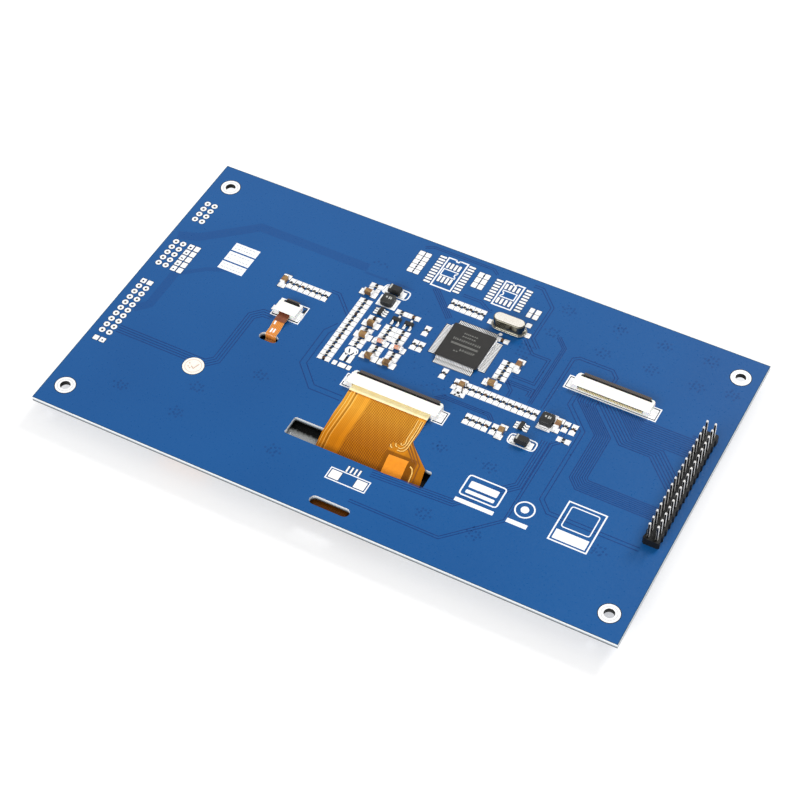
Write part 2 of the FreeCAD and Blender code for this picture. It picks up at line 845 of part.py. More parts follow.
def crystal_cover():
    """Drawn metal can with a flange and a broken top edge."""
    foot = crystal_tab[2] + crystal_base[2]
    flange = rounded((0, 0), crystal_flange[0], crystal_flange[1], crystal_flange[1] / 2, foot,
                     crystal_flange_thickness)
    can = rounded((0, 0), crystal_can[0], crystal_can[1], crystal_can[1] / 2, foot,
                  crystal_height - foot)
    rim = [e for e in can.Edges if abs(e.BoundBox.ZMin - crystal_height) < 0.001]
    can = can.makeChamfer(crystal_rim, rim)
    return placed(can.fuse(flange).removeSplitter(), crystal_place, 0, z_top)


def crystal_foot():
    return placed(box((0, 0), crystal_base, crystal_tab[2]), crystal_place, 0, z_top)


def crystal_tabs():
    x = crystal_tab_span / 2 - crystal_tab[0] / 2
    tabs = [box((side * x, 0), crystal_tab, 0) for side in (-1, 1)]
    return placed(group(tabs), crystal_place, 0, z_top)


def resistor_places():
    """Place and angle of every small chip."""
    return [((x + i * dx, y + i * dy), angle)
            for (x, y), (dx, dy), count, angle in resistor_rows for i in range(count)]


def spread(solids, places):
    """The same solids at every place and angle."""
    return group([placed(s, place, angle, z_top) for place, angle in places for s in solids])


def moulded_body(size, foot, draft):
    """Moulded body with leaning sides above the lead line."""
    line = size[2] * moulding_line
    lower = box((0, 0), (size[0], size[1], line), foot)
    upper = frustum(size, draft, foot + line, size[2] - line)
    return lower.fuse(upper).removeSplitter()


def diode_bodies():
    return spread([moulded_body(diode_body, diode_lead[2], diode_draft)], diode_places)


def diode_leads():
    """Flat leads that wrap from the ends of the body under it."""
    half, body = diode_span / 2, diode_body[0] / 2
    under, width, thickness = diode_lead
    profile = [(body - under, 0), (half, 0), (half, diode_lead_height), (body, diode_lead_height),
               (body, thickness), (body - under, thickness)]
    leads = [prism([V(side * x, -width / 2, z) for x, z in profile], V(0, width, 0))
             for side in (-1, 1)]
    return spread(leads, diode_places)


def lying_rod(diameter, x0, x1, axis_height):
    """A short round rod that lies along X."""
    rod = many_sided(glass_diode_sides, diameter, x1 - x0, (0, 0), x0)
    rod.rotate(V(0, 0, 0), V(0, 1, 0), 90)
    rod.translate(V(0, 0, axis_height))
    return rod


def glass_diodes():
    """Cylindrical glass bodies that lie on the board between their end caps."""
    half = glass_diode_length / 2 - glass_diode_cap
    body = lying_rod(glass_diode_diameter - glass_diode_step, -half, half,
                     glass_diode_diameter / 2)
    return group([placed(body, place, 0, z_top) for place in glass_diode_places])


def glass_diode_caps():
    inner, outer = glass_diode_length / 2 - glass_diode_cap, glass_diode_length / 2
    radius = glass_diode_diameter / 2
    caps = [lying_rod(glass_diode_diameter, -outer, -inner, radius),
            lying_rod(glass_diode_diameter, inner, outer, radius)]
    return group([placed(c, place, 0, z_top) for place in glass_diode_places for c in caps])


def inductor_bodies():
    """Shielded inductors with broken upright edges."""
    core = box((0, 0), inductor_body, inductor_foot[2])
    upright = [e for e in core.Edges if abs(e.tangentAt(e.FirstParameter).z) > 0.9]
    return spread([core.makeChamfer(inductor_chamfer, upright)], inductor_places)


def inductor_terminals():
    """Strips under both sides of the inductor."""
    x = inductor_span / 2 - inductor_foot[0] / 2
    return spread([box((side * x, 0), inductor_foot, 0) for side in (-1, 1)], inductor_places)


def transistor_bodies():
    places = [(place, angle) for place, angle, _ in transistor_places]
    body = moulded_body(transistor_body, transistor_standoff, transistor_draft)
    return spread([body], places)


def transistor_leads():
    """Bent leads on the two long sides: near side first, then the far side."""
    lead = gull_lead(transistor_body[1] / 2, transistor_span / 2, transistor_shoulder,
                     transistor_lead_width, transistor_lead_foot)
    leads = []
    for place, angle, sides in transistor_places:
        for side, count in enumerate(sides):
            pitch = 2 * transistor_pitch if count == 2 else transistor_pitch
            for offset in evenly(count, pitch):
                one = placed(lead, (0, offset))
                one = placed(one, (0, 0), 90.0 + 180.0 * (side + 1))
                leads.append(placed(one, place, angle, z_top))
    return group(leads)


def sticker():
    return many_sided(sticker_sides, sticker_diameter, sticker_thickness, sticker_place, z_top)


def pieces():
    """Every node of the module."""
    nodes = {
        "cover_glass": cover_glass(),
        "optical_adhesive": optical_adhesive(),
        "sensor_glass": sensor_glass(),
        "gasket": gasket(),
        "lcd_bezel": lcd_bezel(),
        "front_polarizer": polarizer(z_filter - polarizer_thickness),
        "colour_filter_glass": panel(z_filter, panel_ledge),
        "tft_glass": panel(z_tft, 0.0),
        "driver_chips": driver_chips(),
        "rear_polarizer": polarizer(z_mould),
        "mould_frame": mould_frame(),
        "prism_sheets": prism_sheets(),
        "diffuser": diffuser(),
        "light_guide": light_guide(),
        "reflector": reflector(),
        "led_strip": led_strip(),
        "backlight_leds": backlight_leds(),
        "rear_plate": rear_plate(),
        "foam_tapes": foam_tapes(),
        "display_flex": display_flex(),
        "display_stiffener": display_stiffener(),
        "touch_flex": touch_flex(),
        "touch_stiffener": touch_stiffener(),
        "touch_controller": touch_controller(),
        "circuit_board": circuit_board(),
        "header_base": header_base(),
        "header_pins": header_pins(),
        "controller_chip": controller_chip(),
        "controller_leads": controller_leads(),
        "crystal_can": crystal_cover(),
        "crystal_base": crystal_foot(),
        "crystal_tabs": crystal_tabs(),
        "diode_bodies": diode_bodies(),
        "diode_leads": diode_leads(),
        "glass_diodes": glass_diodes(),
        "glass_diode_caps": glass_diode_caps(),
        "inductor_bodies": inductor_bodies(),
        "inductor_terminals": inductor_terminals(),
        "transistor_bodies": transistor_bodies(),
        "transistor_leads": transistor_leads(),
        "chip_resistors": spread([box((0, 0), resistor_size, 0)], resistor_places()),
        "ceramic_capacitors": spread([box((0, 0), capacitor_size, 0)], capacitor_places),
        "round_sticker": sticker(),
    }
    nodes.update(connector("display_connector", display_contacts, display_connector_place))
    nodes.update(connector("spare_connector", spare_contacts, spare_connector_place))
    nodes.update(connector("touch_connector", touch_contacts, touch_connector_place))
    return nodes


def main():
    os.makedirs("parts", exist_ok=True)
    for name, shape in pieces().items():
        if not shape.isValid():
            print("not valid:", name)
        shape.exportStep(f"parts/{name}.step")
        print(f"{name}: {len(shape.Solids)} solids, {shape.Volume:.2f} mm3")


main()
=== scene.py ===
"""Looks of the seven inch touch display module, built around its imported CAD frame.

Sizes are millimetres in the frame of the CAD model, and are scaled to metres where a mesh
is made. Places read on the board are measured from its near left corner: at() turns one
into a place in the frame, and span() does so for the four sides of a rectangle.
"""

import math
import random

import bpy
from mathutils import Matrix, Vector
from mathutils.bvhtree import BVHTree


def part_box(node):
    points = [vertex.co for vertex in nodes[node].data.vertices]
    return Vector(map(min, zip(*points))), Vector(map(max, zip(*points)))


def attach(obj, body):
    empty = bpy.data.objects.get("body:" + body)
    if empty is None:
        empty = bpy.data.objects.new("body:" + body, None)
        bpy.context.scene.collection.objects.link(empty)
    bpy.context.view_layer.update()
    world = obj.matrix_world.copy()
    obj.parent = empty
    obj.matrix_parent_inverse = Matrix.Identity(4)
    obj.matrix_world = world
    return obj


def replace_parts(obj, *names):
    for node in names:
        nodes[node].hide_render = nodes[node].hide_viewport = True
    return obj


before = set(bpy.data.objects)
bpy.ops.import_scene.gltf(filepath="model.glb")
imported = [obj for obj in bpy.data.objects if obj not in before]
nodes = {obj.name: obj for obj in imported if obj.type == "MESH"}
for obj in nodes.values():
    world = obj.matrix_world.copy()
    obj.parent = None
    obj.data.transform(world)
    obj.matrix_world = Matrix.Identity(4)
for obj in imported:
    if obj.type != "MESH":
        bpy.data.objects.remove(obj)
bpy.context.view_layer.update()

MM = 0.001
BOARD_LENGTH, BOARD_WIDTH = 186.0, 110.2
BOARD_FOOT, BOARD_TOP = 6.1, 7.7
PITCH = 2.54
rng = random.Random(7)

# Heights of the thin layers on the board
TRACE_TOP = BOARD_TOP + 0.016
DARK_LAYER_TOP = BOARD_TOP + 0.022
SILK_TOP = BOARD_TOP + 0.03
PAD_TOP = BOARD_TOP + 0.035
OPENING_TOP = BOARD_TOP + 0.01
PAINTED_SHADE_TOP = BOARD_TOP + 0.012
FILM = 0.006

# Camera, fitted to the pads of the photograph
CAMERA_PLACE = (185.77, -345.47, 459.55)
CAMERA_LOOK = (-0.30830, 0.57051, -0.76122)
CAMERA_UP = (-0.35209, 0.67494, 0.64845)
CAMERA_LENS, CAMERA_SENSOR = 92.11, 36.0
HALF_PIXEL = 0.5 / 800


def at(x, y):
    """A place on the board, from its near left corner to the frame."""
    return x - BOARD_LENGTH / 2, y - BOARD_WIDTH / 2


def span(x0, x1, y0, y1):
    """The sides of a rectangle, from the board's near left corner to the frame."""
    (left, near), (right, far) = at(x0, y0), at(x1, y1)
    return left, right, near, far


def rgb(r, g, b):
    """A colour from 0 to 255 in display values."""
    def lin(v):
        v /= 255.0
        return v / 12.92 if v <= 0.04045 else ((v + 0.055) / 1.055) ** 2.4
    return lin(r), lin(g), lin(b), 1.0


def make_camera():
    look, up = Vector(CAMERA_LOOK).normalized(), Vector(CAMERA_UP).normalized()
    data = bpy.data.cameras.new("camera")
    data.lens, data.sensor_width = CAMERA_LENS, CAMERA_SENSOR
    data.shift_x, data.shift_y = -HALF_PIXEL, HALF_PIXEL
    data.clip_start, data.clip_end = 0.01, 20.0
    camera = bpy.data.objects.new("camera", data)
    bpy.context.collection.objects.link(camera)
    turn = Matrix((look.cross(up), up, -look)).transposed().to_4x4()
    camera.matrix_world = Matrix.Translation(Vector(CAMERA_PLACE) * MM) @ turn
    bpy.context.scene.camera = camera


# Materials

def fill_ramp(node, stops):
    """Sets the colours of a colour ramp node, with more stops than it comes with."""
    elements = node.color_ramp.elements
    while len(elements) < len(stops):
        elements.new(0.5)
    for element, (position, colour) in zip(elements, stops):
        element.position, element.color = position, colour


def grey(level):
    return level, level, level, 1


class Field:
    """An output in a node graph, so that a material reads as a formula."""

    def __init__(self, graph, socket):
        self.graph, self.socket = graph, socket

    def __add__(self, other):
        return self.graph.math("ADD", self, other)

    def __sub__(self, other):
        return self.graph.math("SUBTRACT", self, other)

    def __rsub__(self, other):
        return self.graph.math("SUBTRACT", other, self)

    def __mul__(self, other):
        return self.graph.math("MULTIPLY", self, other)

    def __truediv__(self, other):
        return self.graph.math("DIVIDE", self, other)

    def __abs__(self):
        return self.graph.math("ABSOLUTE", self)

    def above(self, limit):
        return self.graph.math("GREATER_THAN", self, limit)

    def below(self, limit):
        return self.graph.math("LESS_THAN", self, limit)

    def between(self, low, high):
        return self.above(low) * self.below(high)

    def clamped(self):
        return self.graph.math("MINIMUM", self.graph.math("MAXIMUM", self, 0.0), 1.0)


class Graph:
    """A small builder for node materials; lengths in its textures are millimetres."""

    def __init__(self, name):
        self.material = bpy.data.materials.new(name)
        self.material.use_nodes = True
        self.tree = self.material.node_tree
        self.tree.nodes.clear()
        out = self.tree.nodes.new("ShaderNodeOutputMaterial")
        self.bsdf = self.tree.nodes.new("ShaderNodeBsdfPrincipled")
        self.tree.links.new(self.bsdf.outputs[0], out.inputs[0])
        coords = self.take("ShaderNodeTexCoord", {}, "Object")
        self.place = self.take("ShaderNodeVectorMath", {0: coords, "Scale": 1 / MM},
                               operation="SCALE")
        self.x, self.y, self.z = (self.axis(self.place, index) for index in range(3))

    def feed(self, socket, value):
        if isinstance(value, Field):
            self.tree.links.new(value.socket, socket)
        else:
            socket.default_value = value

    def take(self, kind, inputs, output=0, **settings):
        """An output of a new node, whose inputs are given by name or number."""
        node = self.tree.nodes.new(kind)
        for key, value in settings.items():
            setattr(node, key, value)
        for key, value in inputs.items():
            self.feed(node.inputs[key], value)
        return Field(self, node.outputs[output])

    def set(self, **values):
        for key, value in values.items():
            self.feed(self.bsdf.inputs[key.replace("_", " ")], value)

    def axis(self, vector, index):
        return self.take("ShaderNodeSeparateXYZ", {0: vector}, index)

    def normal(self, index):
        return self.axis(self.take("ShaderNodeNewGeometry", {}, "True Normal"), index)

    def flat(self):
        """One on faces that look up or down and zero on upright ones."""
        return abs(self.normal(2)).above(0.5)

    def math(self, operation, a, b=0.0, c=0.0):
        return self.take("ShaderNodeMath", {0: a, 1: b, 2: c}, operation=operation)

    def stretched(self, x, y, z):
        return self.take("ShaderNodeVectorMath", {0: self.place, 1: (x, y, z)},
                         operation="MULTIPLY")

    def noise(self, scale, detail=2.0, rough=0.5, vector=None):
        return self.take("ShaderNodeTexNoise", {"Scale": scale, "Detail": detail,
                                                "Roughness": rough,
                                                "Vector": vector or self.place})

    def ramp(self, value, stops):
        node = self.tree.nodes.new("ShaderNodeValToRGB")
        fill_ramp(node, stops)
        self.feed(node.inputs[0], value)
        return Field(self, node.outputs[0])

    def levels(self, value, low, high):
        """A grey ramp between two levels."""
        return self.ramp(value, [(0.3, grey(low)), (0.7, grey(high))])

    def mix(self, factor, a, b, mode="MIX"):
        return self.take("ShaderNodeMix", {0: factor, 6: a, 7: b}, 2, data_type="RGBA",
                         blend_type=mode)

    def blend(self, noise, a, b):
        """One colour where a noise is low and another where it is high."""
        return self.mix(self.levels(noise, 0.0, 1.0), a, b)

    def tint(self, tone, noise, share, colour):
        """A tone that takes up a share of a colour where a noise is high."""
        return self.mix(self.levels(noise, 0.0, 1.0) * share, tone, colour)

    def stripes(self, value, period, low=0.0, high=1.0):
        """A wave along a coordinate, from low to high."""
        wave = self.math("SINE", value * (2 * math.pi / period))
        return self.math("MULTIPLY_ADD", wave, (high - low) / 2, (high + low) / 2)

    def bump(self, height, strength, distance):
        """Gives the surface its relief, and returns the finished material."""
        normal = self.take("ShaderNodeBump", {"Height": height, "Strength": strength,
                                              "Distance": distance * MM})
        self.set(Normal=normal)
        return self.material


def solder_mask(name, colour, dark, edge=True):
    """Blue lacquer over copper and glass weave, with a bare cut edge."""
    g = Graph(name)
    fine = g.noise(1.6, 3.0)
    weave = g.stripes(g.x, 0.42) * g.stripes(g.y, 0.42)
    tone = g.blend(g.noise(0.018), dark, colour)
    tone = g.mix(weave * 0.04, tone, rgb(2, 58, 124))
    tone = g.tint(tone, fine, 0.08, rgb(30, 98, 160))
    if edge:
        core = g.ramp((g.z - BOARD_FOOT) / (BOARD_TOP - BOARD_FOOT),
                      [(0.0, rgb(58, 60, 64)), (0.26, rgb(74, 78, 84)),
                       (0.36, rgb(170, 180, 190)), (0.58, rgb(206, 214, 222)),
                       (0.7, rgb(250, 251, 252)), (0.97, rgb(252, 253, 253)),
                       (1.0, rgb(60, 110, 160))])
        core = g.mix(g.levels(g.noise(3.0, 4.0), 0.0, 0.25), core, rgb(176, 182, 180))
        tone = g.mix(g.flat(), core, tone)
    g.set(Base_Color=tone, Roughness=g.levels(fine, 0.27, 0.33), Specular_IOR_Level=0.5)
    return g.bump(weave * 0.15 + fine, 0.05, 0.01)


def ink(name, colour, wear_and_lit_edge):
    g = Graph(name)
    speck = g.noise(3.2, 4.0, 0.6)
    g.set(Base_Color=g.mix(g.levels(speck, 0.0, 0.35), colour, wear_and_lit_edge),
          Roughness=g.levels(speck, 0.5, 0.65), Specular_IOR_Level=0.3)
    return g.bump(speck, 0.2, 0.015)


def metal(name, colour, dark, roughness, grain=1.2, metallic=1.0, depth=0.02):
    g = Graph(name)
    cloud = g.noise(grain, 4.0, 0.55)
    fine = g.noise(grain * 7, 2.0)
    g.set(Base_Color=g.blend(cloud, colour, dark), Metallic=metallic,
          Roughness=g.levels(fine, roughness * 0.8, roughness * 1.3))
    return g.bump(cloud + fine * 0.4, 0.25, depth)


def moulded(name, colour, shade, roughness, grain=6.0, depth=0.012, subsurface=0.0):
    g = Graph(name)
    skin = g.noise(grain, 4.0, 0.6)
    tone = g.tint(g.blend(g.noise(0.5), colour, shade), skin, 0.18, shade)
    g.set(Base_Color=tone, Roughness=g.levels(skin, roughness * 0.85, roughness * 1.15),
          Specular_IOR_Level=0.4, Subsurface_Weight=subsurface, Subsurface_Scale=0.3 * MM)
    return g.bump(skin, 0.35, depth)


def epoxy(name, colour, speck):
    """Moulding compound with fine glass filler."""
    g = Graph(name)
    filler = g.noise(14.0, 3.0, 0.7)
    tone = g.tint(colour, filler, 0.45, speck)
    tone = g.tint(tone, g.noise(0.7, 3.0), 0.3, speck)
    g.set(Base_Color=tone, Roughness=g.levels(filler, 0.42, 0.62), Specular_IOR_Level=0.45)
    return g.bump(filler, 0.5, 0.012)


def glass_front(name):
    """Touch glass from the front: black print with a fine line round the dark display."""
    g = Graph(name)
    half_x, half_y = abs(g.x), abs(g.y)
    smear = g.noise(0.06, 4.0, 0.6)
    tone = rgb(4, 4, 5)
    for reach_x, reach_y, colour in ((77.9, 44.0, rgb(70, 74, 80)), (77.4, 43.5, rgb(30, 33, 40))):
        tone = g.mix(half_x.below(reach_x) * half_y.below(reach_y), tone, colour)
    g.set(Base_Color=g.mix(g.flat(), rgb(140, 158, 158), tone), Coat_Weight=0.4,
          Roughness=g.levels(smear, 0.035, 0.08), Specular_IOR_Level=0.6)
    return g.bump(smear, 0.02, 0.01)


def clear_plate(name, colour):
    """Glass of the panel, dark from above and green at its edge."""
    g = Graph(name)
    smear = g.noise(0.2, 3.0)
    tone = g.mix(abs(g.normal(2)).below(0.5), colour, rgb(150, 172, 168))
    g.set(Base_Color=g.tint(tone, smear, 0.2, rgb(90, 98, 104)), Coat_Weight=0.5,
          Roughness=g.levels(smear, 0.08, 0.14), Coat_Roughness=0.05)
    return g.material


def film(name, colour, shade, roughness, lines=0.0):
    """A plastic sheet, with fine prism lines where lines gives their pitch."""
    g = Graph(name)
    haze = g.noise(0.35, 3.0)
    tone = g.blend(haze, colour, shade)
    if lines:
        tone = g.mix(g.stripes(g.y, lines, 0.0, 0.4), tone, shade)
    g.set(Base_Color=tone, Roughness=g.levels(haze, roughness * 0.8, roughness * 1.2))
    return g.bump(haze, 0.1, 0.02)


def painted_shade_film(name):
    """Black sheet painted as shade in the slots, whose near edge fades raggedly to the grey of the
    steel.
    """
    g = Graph(name)
    mottle = g.noise(1.3, 5.0, 0.7)
    ragged = g.math("MULTIPLY_ADD", mottle, 1.6, -0.8)
    wear_and_lit_edge = ((-28.6 - g.y) * 0.8 + ragged).clamped() * g.x.below(0.0) * g.y.below(-20.0)
    g.set(Base_Color=g.mix(wear_and_lit_edge, rgb(5, 6, 5), rgb(150, 152, 150)),
          Roughness=g.levels(mottle, 0.5, 0.7), Specular_IOR_Level=0.2)
    return g.bump(mottle, 0.2, 0.02)


def foam(name):
    g = Graph(name)
    pores = g.take("ShaderNodeTexVoronoi", {"Scale": 4.0, "Vector": g.place}, "Distance")
    g.set(Base_Color=g.blend(pores, rgb(20, 20, 21), rgb(44, 44, 46)), Roughness=0.95)
    return g.bump(pores, 0.8, 0.15)


def steel_sheet(name):
    """Folded sheet steel of the display, with a rolled grain and dull stains."""
    g = Graph(name)
    grain = g.noise(1.0, 3.0, 0.6, g.stretched(0.25, 9.0, 9.0))
    tone = g.blend(g.noise(0.16, 4.0, 0.6), rgb(214, 215, 214), rgb(176, 178, 180))
    g.set(Base_Color=g.tint(tone, grain, 0.3, rgb(130, 132, 134)), Metallic=0.6,
          Roughness=g.levels(grain, 0.2, 0.34))
    return g.bump(grain, 0.12, 0.01)


# The display's cable: where its film starts and ends, its tones along it, darker towards the slot
# as painted shade, and how dark its copper is across it
FILM_NEAR, FILM_REACH = 10.0, 40.0
FILM_LEFT, FILM_SPREAD = 80.75, 34.0
FILM_TONES_SHADED = [
    (0.0, rgb(100, 54, 4)), (0.28, rgb(164, 96, 2)), (0.38, rgb(206, 124, 4)),
    (0.50, rgb(220, 136, 8)), (0.62, rgb(238, 156, 34)), (0.76, rgb(252, 178, 58)),
    (0.84, rgb(252, 176, 58)), (0.86, rgb(216, 132, 24)), (0.875, rgb(252, 168, 46)),
]
FILM_BANDS = [
    (0.0, 0.9), (0.15, 0.76), (0.8, 0.74), (0.95, 0.40), (1.15, 0.92), (1.4, 0.72),
    (1.95, 0.74), (2.18, 0.92), (2.45, 0.70), (2.7, 0.42), (2.95, 0.44), (3.15, 0.9),
    (3.5, 0.86), (5.7, 0.82), (6.1, 0.92), (7.2, 0.94), (7.5, 0.68), (7.8, 0.86),
    (20.1, 0.84), (20.4, 0.80), (22.4, 0.80), (23.0, 0.84), (25.4, 0.80), (26.0, 0.66),
    (33.0, 0.66),
]
PALE_LINES = [(80.7, 80.95), (81.78, 82.02), (82.8, 83.04), (83.86, 84.06)]
HATCH_LEFT, HATCH_RIGHT, HATCH_FAR_RIGHT, HOOKS_END = 88.5, 101.2, 104.0, 33.4
TRACES_LEFT, TRACES_RIGHT = 84.2, 103.4
PALE_FROM, PALE_OVER, DEEP_FROM, DEEP_OVER = 24.0, 18.0, 26.0, 16.0
SHADE_LEFT, SHADE_RIGHT, SHADE_TOP = 100.9, 111.2, 30.6


def display_film(name):
    """Orange polyimide of the display's cable: copper in lines and bands seen through the film,
    painted darker towards the slot as shade.
    """
    g = Graph(name)
    x, y = g.x + BOARD_LENGTH / 2, g.y + BOARD_WIDTH / 2
    # painted shade: the tones darken towards the slot
    down = g.ramp((y - FILM_NEAR) / FILM_REACH, FILM_TONES_SHADED)
    band = g.ramp((x - FILM_LEFT) / FILM_SPREAD,
                  [(p / FILM_SPREAD, (v, v * 0.98, v * 0.9, 1)) for p, v in FILM_BANDS])
    tone = g.mix(1.0, down, band, "MULTIPLY")
    pale = x.between(*PALE_LINES[0])
    for line in PALE_LINES[1:]:
        pale = pale + x.between(*line)
    fade = g.ramp((y - PALE_FROM) / PALE_OVER, [(0.0, grey(0.22)), (1.0, grey(0.72))])
    tone = g.mix(pale * fade, tone, rgb(255, 212, 118))
    hatched = x.between(HATCH_LEFT, HATCH_RIGHT)
    hatched = hatched + x.between(HATCH_RIGHT, HATCH_FAR_RIGHT) * y.above(HOOKS_END)
    traces = g.stripes(x, 0.5) * x.between(TRACES_LEFT, TRACES_RIGHT)
    cross = g.stripes(y + x * 0.5, 0.68, 0.0, 0.5)
    along = g.stripes(x - y * 0.12, 0.62, -0.05, 0.75)
    hatch = hatched * g.math("MAXIMUM", cross + along, 0.0)
    deeper = g.ramp((y - DEEP_FROM) / DEEP_OVER, [(0.0, grey(0.95)), (1.0, grey(0.62))])
    tone = g.mix(traces * 0.3, tone, rgb(136, 72, 2))
    tone = g.mix(hatch * deeper, tone, rgb(122, 66, 6))
    corner = g.math("MINIMUM", (x - SHADE_LEFT) * 2.2, (SHADE_TOP - y) * 2.2)
    shade = g.math("MINIMUM", corner, (SHADE_RIGHT - x) * 1.4).clamped()
    tone = g.mix(shade * 0.62, tone, rgb(84, 42, 0))
    fine = g.noise(1.5, 3.0)
    g.set(Base_Color=tone, Roughness=g.levels(fine, 0.34, 0.46), Specular_IOR_Level=0.14)
    return g.bump(traces + fine, 0.12, 0.015)


def touch_film(name):
    """Orange film of the touch cable, with copper traces at the pitch of its contacts."""
    g = Graph(name)
    x = g.x + BOARD_LENGTH / 2
    traces = g.stripes(x, 0.5)
    fine = g.noise(1.5, 3.0)
    tone = g.mix(traces, rgb(206, 118, 36), rgb(238, 158, 74))
    tone = g.tint(tone, fine, 0.2, rgb(170, 92, 30))
    rim = x.between(47.3, 47.75) + x.between(51.1, 51.5)
    g.set(Base_Color=g.mix(rim * 0.75, tone, rgb(255, 214, 130)), Coat_Weight=0.35,
          Roughness=g.levels(fine, 0.28, 0.4), Coat_Roughness=0.2)
    return g.bump(traces + fine, 0.12, 0.015)


def pin_finish(name):
    """Drawn tin-plated wire with bright tips; one pair of sides is painted dark as shade, below the
    tips.
    """
    g = Graph(name)
    grain = g.noise(1.4, 4.0, 0.6, g.stretched(4.0, 4.0, 0.6))
    painted_shade_side = abs(g.normal(1)).above(0.8) * g.z.below(BOARD_TOP + 8.05)
    bright = g.blend(grain, (0.97, 0.96, 0.93, 1), (0.80, 0.79, 0.76, 1))
    g.set(Base_Color=g.mix(painted_shade_side, bright, rgb(26, 25, 23)), Metallic=0.4 - painted_shade_side * 0.3,
          Roughness=g.levels(grain, 0.28, 0.4))
    return g.bump(grain, 0.15, 0.01)


def latch_finish(name, front, shade_depth):
    """Dark plastic with fine ribs, and painted shade along its front edge."""
    g = Graph(name)
    skin = g.noise(6.0, 4.0, 0.6)
    ribs = g.stripes(g.x, 0.5)
    tone = g.mix(ribs * 0.8, rgb(92, 84, 80), rgb(44, 41, 40))
    tone = g.tint(tone, skin, 0.25, rgb(104, 96, 92))
    g.set(Base_Color=g.mix(g.y.below(front + shade_depth), tone, rgb(9, 9, 9)),
          Roughness=g.levels(skin, 0.42, 0.58), Specular_IOR_Level=0.3)
    return g.bump(skin + ribs, 0.2, 0.02)


def ceramic(name, colours, roughness):
    """Fired ceramic whose shade changes from chip to chip."""
    g = Graph(name)
    fine = g.noise(9.0, 3.0, 0.6)
    last = len(colours) - 1
    tone = g.ramp(g.noise(0.45, 0.0), [(0.35 + 0.3 * i / last, c) for i, c in enumerate(colours)])
    g.set(Base_Color=g.tint(tone, fine, 0.2, colours[0]),
          Roughness=g.levels(fine, roughness * 0.85, roughness * 1.2))
    return g.bump(fine, 0.3, 0.01)


def diode_glass(name):
    g = Graph(name)
    g.set(Base_Color=g.blend(g.noise(1.4), rgb(248, 188, 156), rgb(236, 150, 116)),
          Roughness=0.08, Transmission_Weight=0.25, Coat_Weight=0.6, Coat_Roughness=0.03)
    return g.material


def paper(name):
    g = Graph(name)
    fibre = g.noise(2.4, 5.0, 0.65)
    g.set(Base_Color=g.blend(fibre, rgb(250, 247, 240), rgb(236, 229, 216)),
          Roughness=g.levels(fibre, 0.6, 0.8))
    return g.bump(fibre, 0.3, 0.02)


def lamp_body(name):
    """White lamp housing with a yellow window on its side."""
    g = Graph(name)
    skin = g.noise(5.0, 3.0)
    g.set(Base_Color=g.mix(g.normal(1).above(0.5), rgb(240, 240, 236), rgb(236, 206, 60)),
          Roughness=g.levels(skin, 0.35, 0.5))
    return g.bump(skin, 0.2, 0.01)


def floor_finish(name):
    """Pale floor that looks bright to the camera and in mirrors, and lights nothing itself."""
    g = Graph(name)
    tone = g.blend(g.noise(0.01), grey(0.62), (0.60, 0.60, 0.602, 1))
    seen = 0.0
    for ray in ("Is Camera Ray", "Is Glossy Ray", "Is Transmission Ray"):
        seen = g.math("MAXIMUM", seen, g.take("ShaderNodeLightPath", {}, ray))
    g.set(Base_Color=tone, Roughness=0.8, Specular_IOR_Level=0.1, Emission_Color=(1, 1, 1, 1),
          Emission_Strength=seen * 0.46)
    return g.material


MASK = solder_mask("solder_mask", rgb(8, 84, 148), rgb(3, 78, 141))
TRACE = solder_mask("masked_copper", rgb(0, 50, 116), rgb(0, 44, 106), edge=False)
VIA_COVER = solder_mask("masked_via", rgb(0, 64, 128), rgb(0, 58, 118), edge=False)
POUR = solder_mask("masked_pour", rgb(4, 76, 140), rgb(1, 70, 133), edge=False)
# dark bare laminate, also used as painted shade at connectors, latches, resistors and the sticker
BARE_AND_SHADE_BLACK = ink("bare_gap_and_painted_shade", rgb(10, 16, 22), rgb(16, 26, 36))
BARE = ink("bare_laminate", rgb(12, 34, 58), rgb(24, 50, 78))
EDGE_LINE = ink("board_edge_line", rgb(20, 66, 96), rgb(34, 84, 116))
GREY_PRINT = ink("grey_print", rgb(160, 168, 178), rgb(200, 206, 212))
SILK = ink("silkscreen", rgb(248, 249, 250), rgb(228, 233, 238))
SOLDER = metal("solder", (1.0, 1.0, 1.0, 1), (0.93, 0.93, 0.93, 1), 0.4, 1.6, 0.1, 0.035)
TIN = metal("tin_plate", (0.97, 0.97, 0.97, 1), (0.86, 0.86, 0.86, 1), 0.32, 1.1, 0.3)
# painted shade: the large barrels near black, as the deep bores lie in shadow
BARREL_PAINTED_SHADE = metal("plated_barrel_painted_shade", (0.012, 0.012, 0.011, 1), (0.006, 0.006, 0.006, 1), 0.6, 2.0, 0.2)
SMALL_BARREL = metal("small_barrel", (0.60, 0.56, 0.50, 1), (0.40, 0.36, 0.30, 1), 0.4, 2.0, 0.3)
GROOVE = metal("screw_mark", (0.62, 0.62, 0.62, 1), (0.50, 0.50, 0.50, 1), 0.4, 2.0, 0.3)
LEAD = metal("lead_tin", (0.98, 0.97, 0.96, 1), (0.84, 0.84, 0.83, 1), 0.32, 2.0, 0.3)
PIN = pin_finish("pin_tin")
# painted light: a paler, nearly non-metal copy of the contacts' gold, so the tips show bright in
# the shaded mouth
TIP_PAINTED_LIGHT = metal("contact_tip_painted_light", rgb(244, 232, 184), rgb(214, 196, 140), 0.4, 2.0, 0.1)
GOLD = metal("contact_gold", (0.86, 0.68, 0.36, 1), (0.70, 0.50, 0.22, 1), 0.28, 2.0)
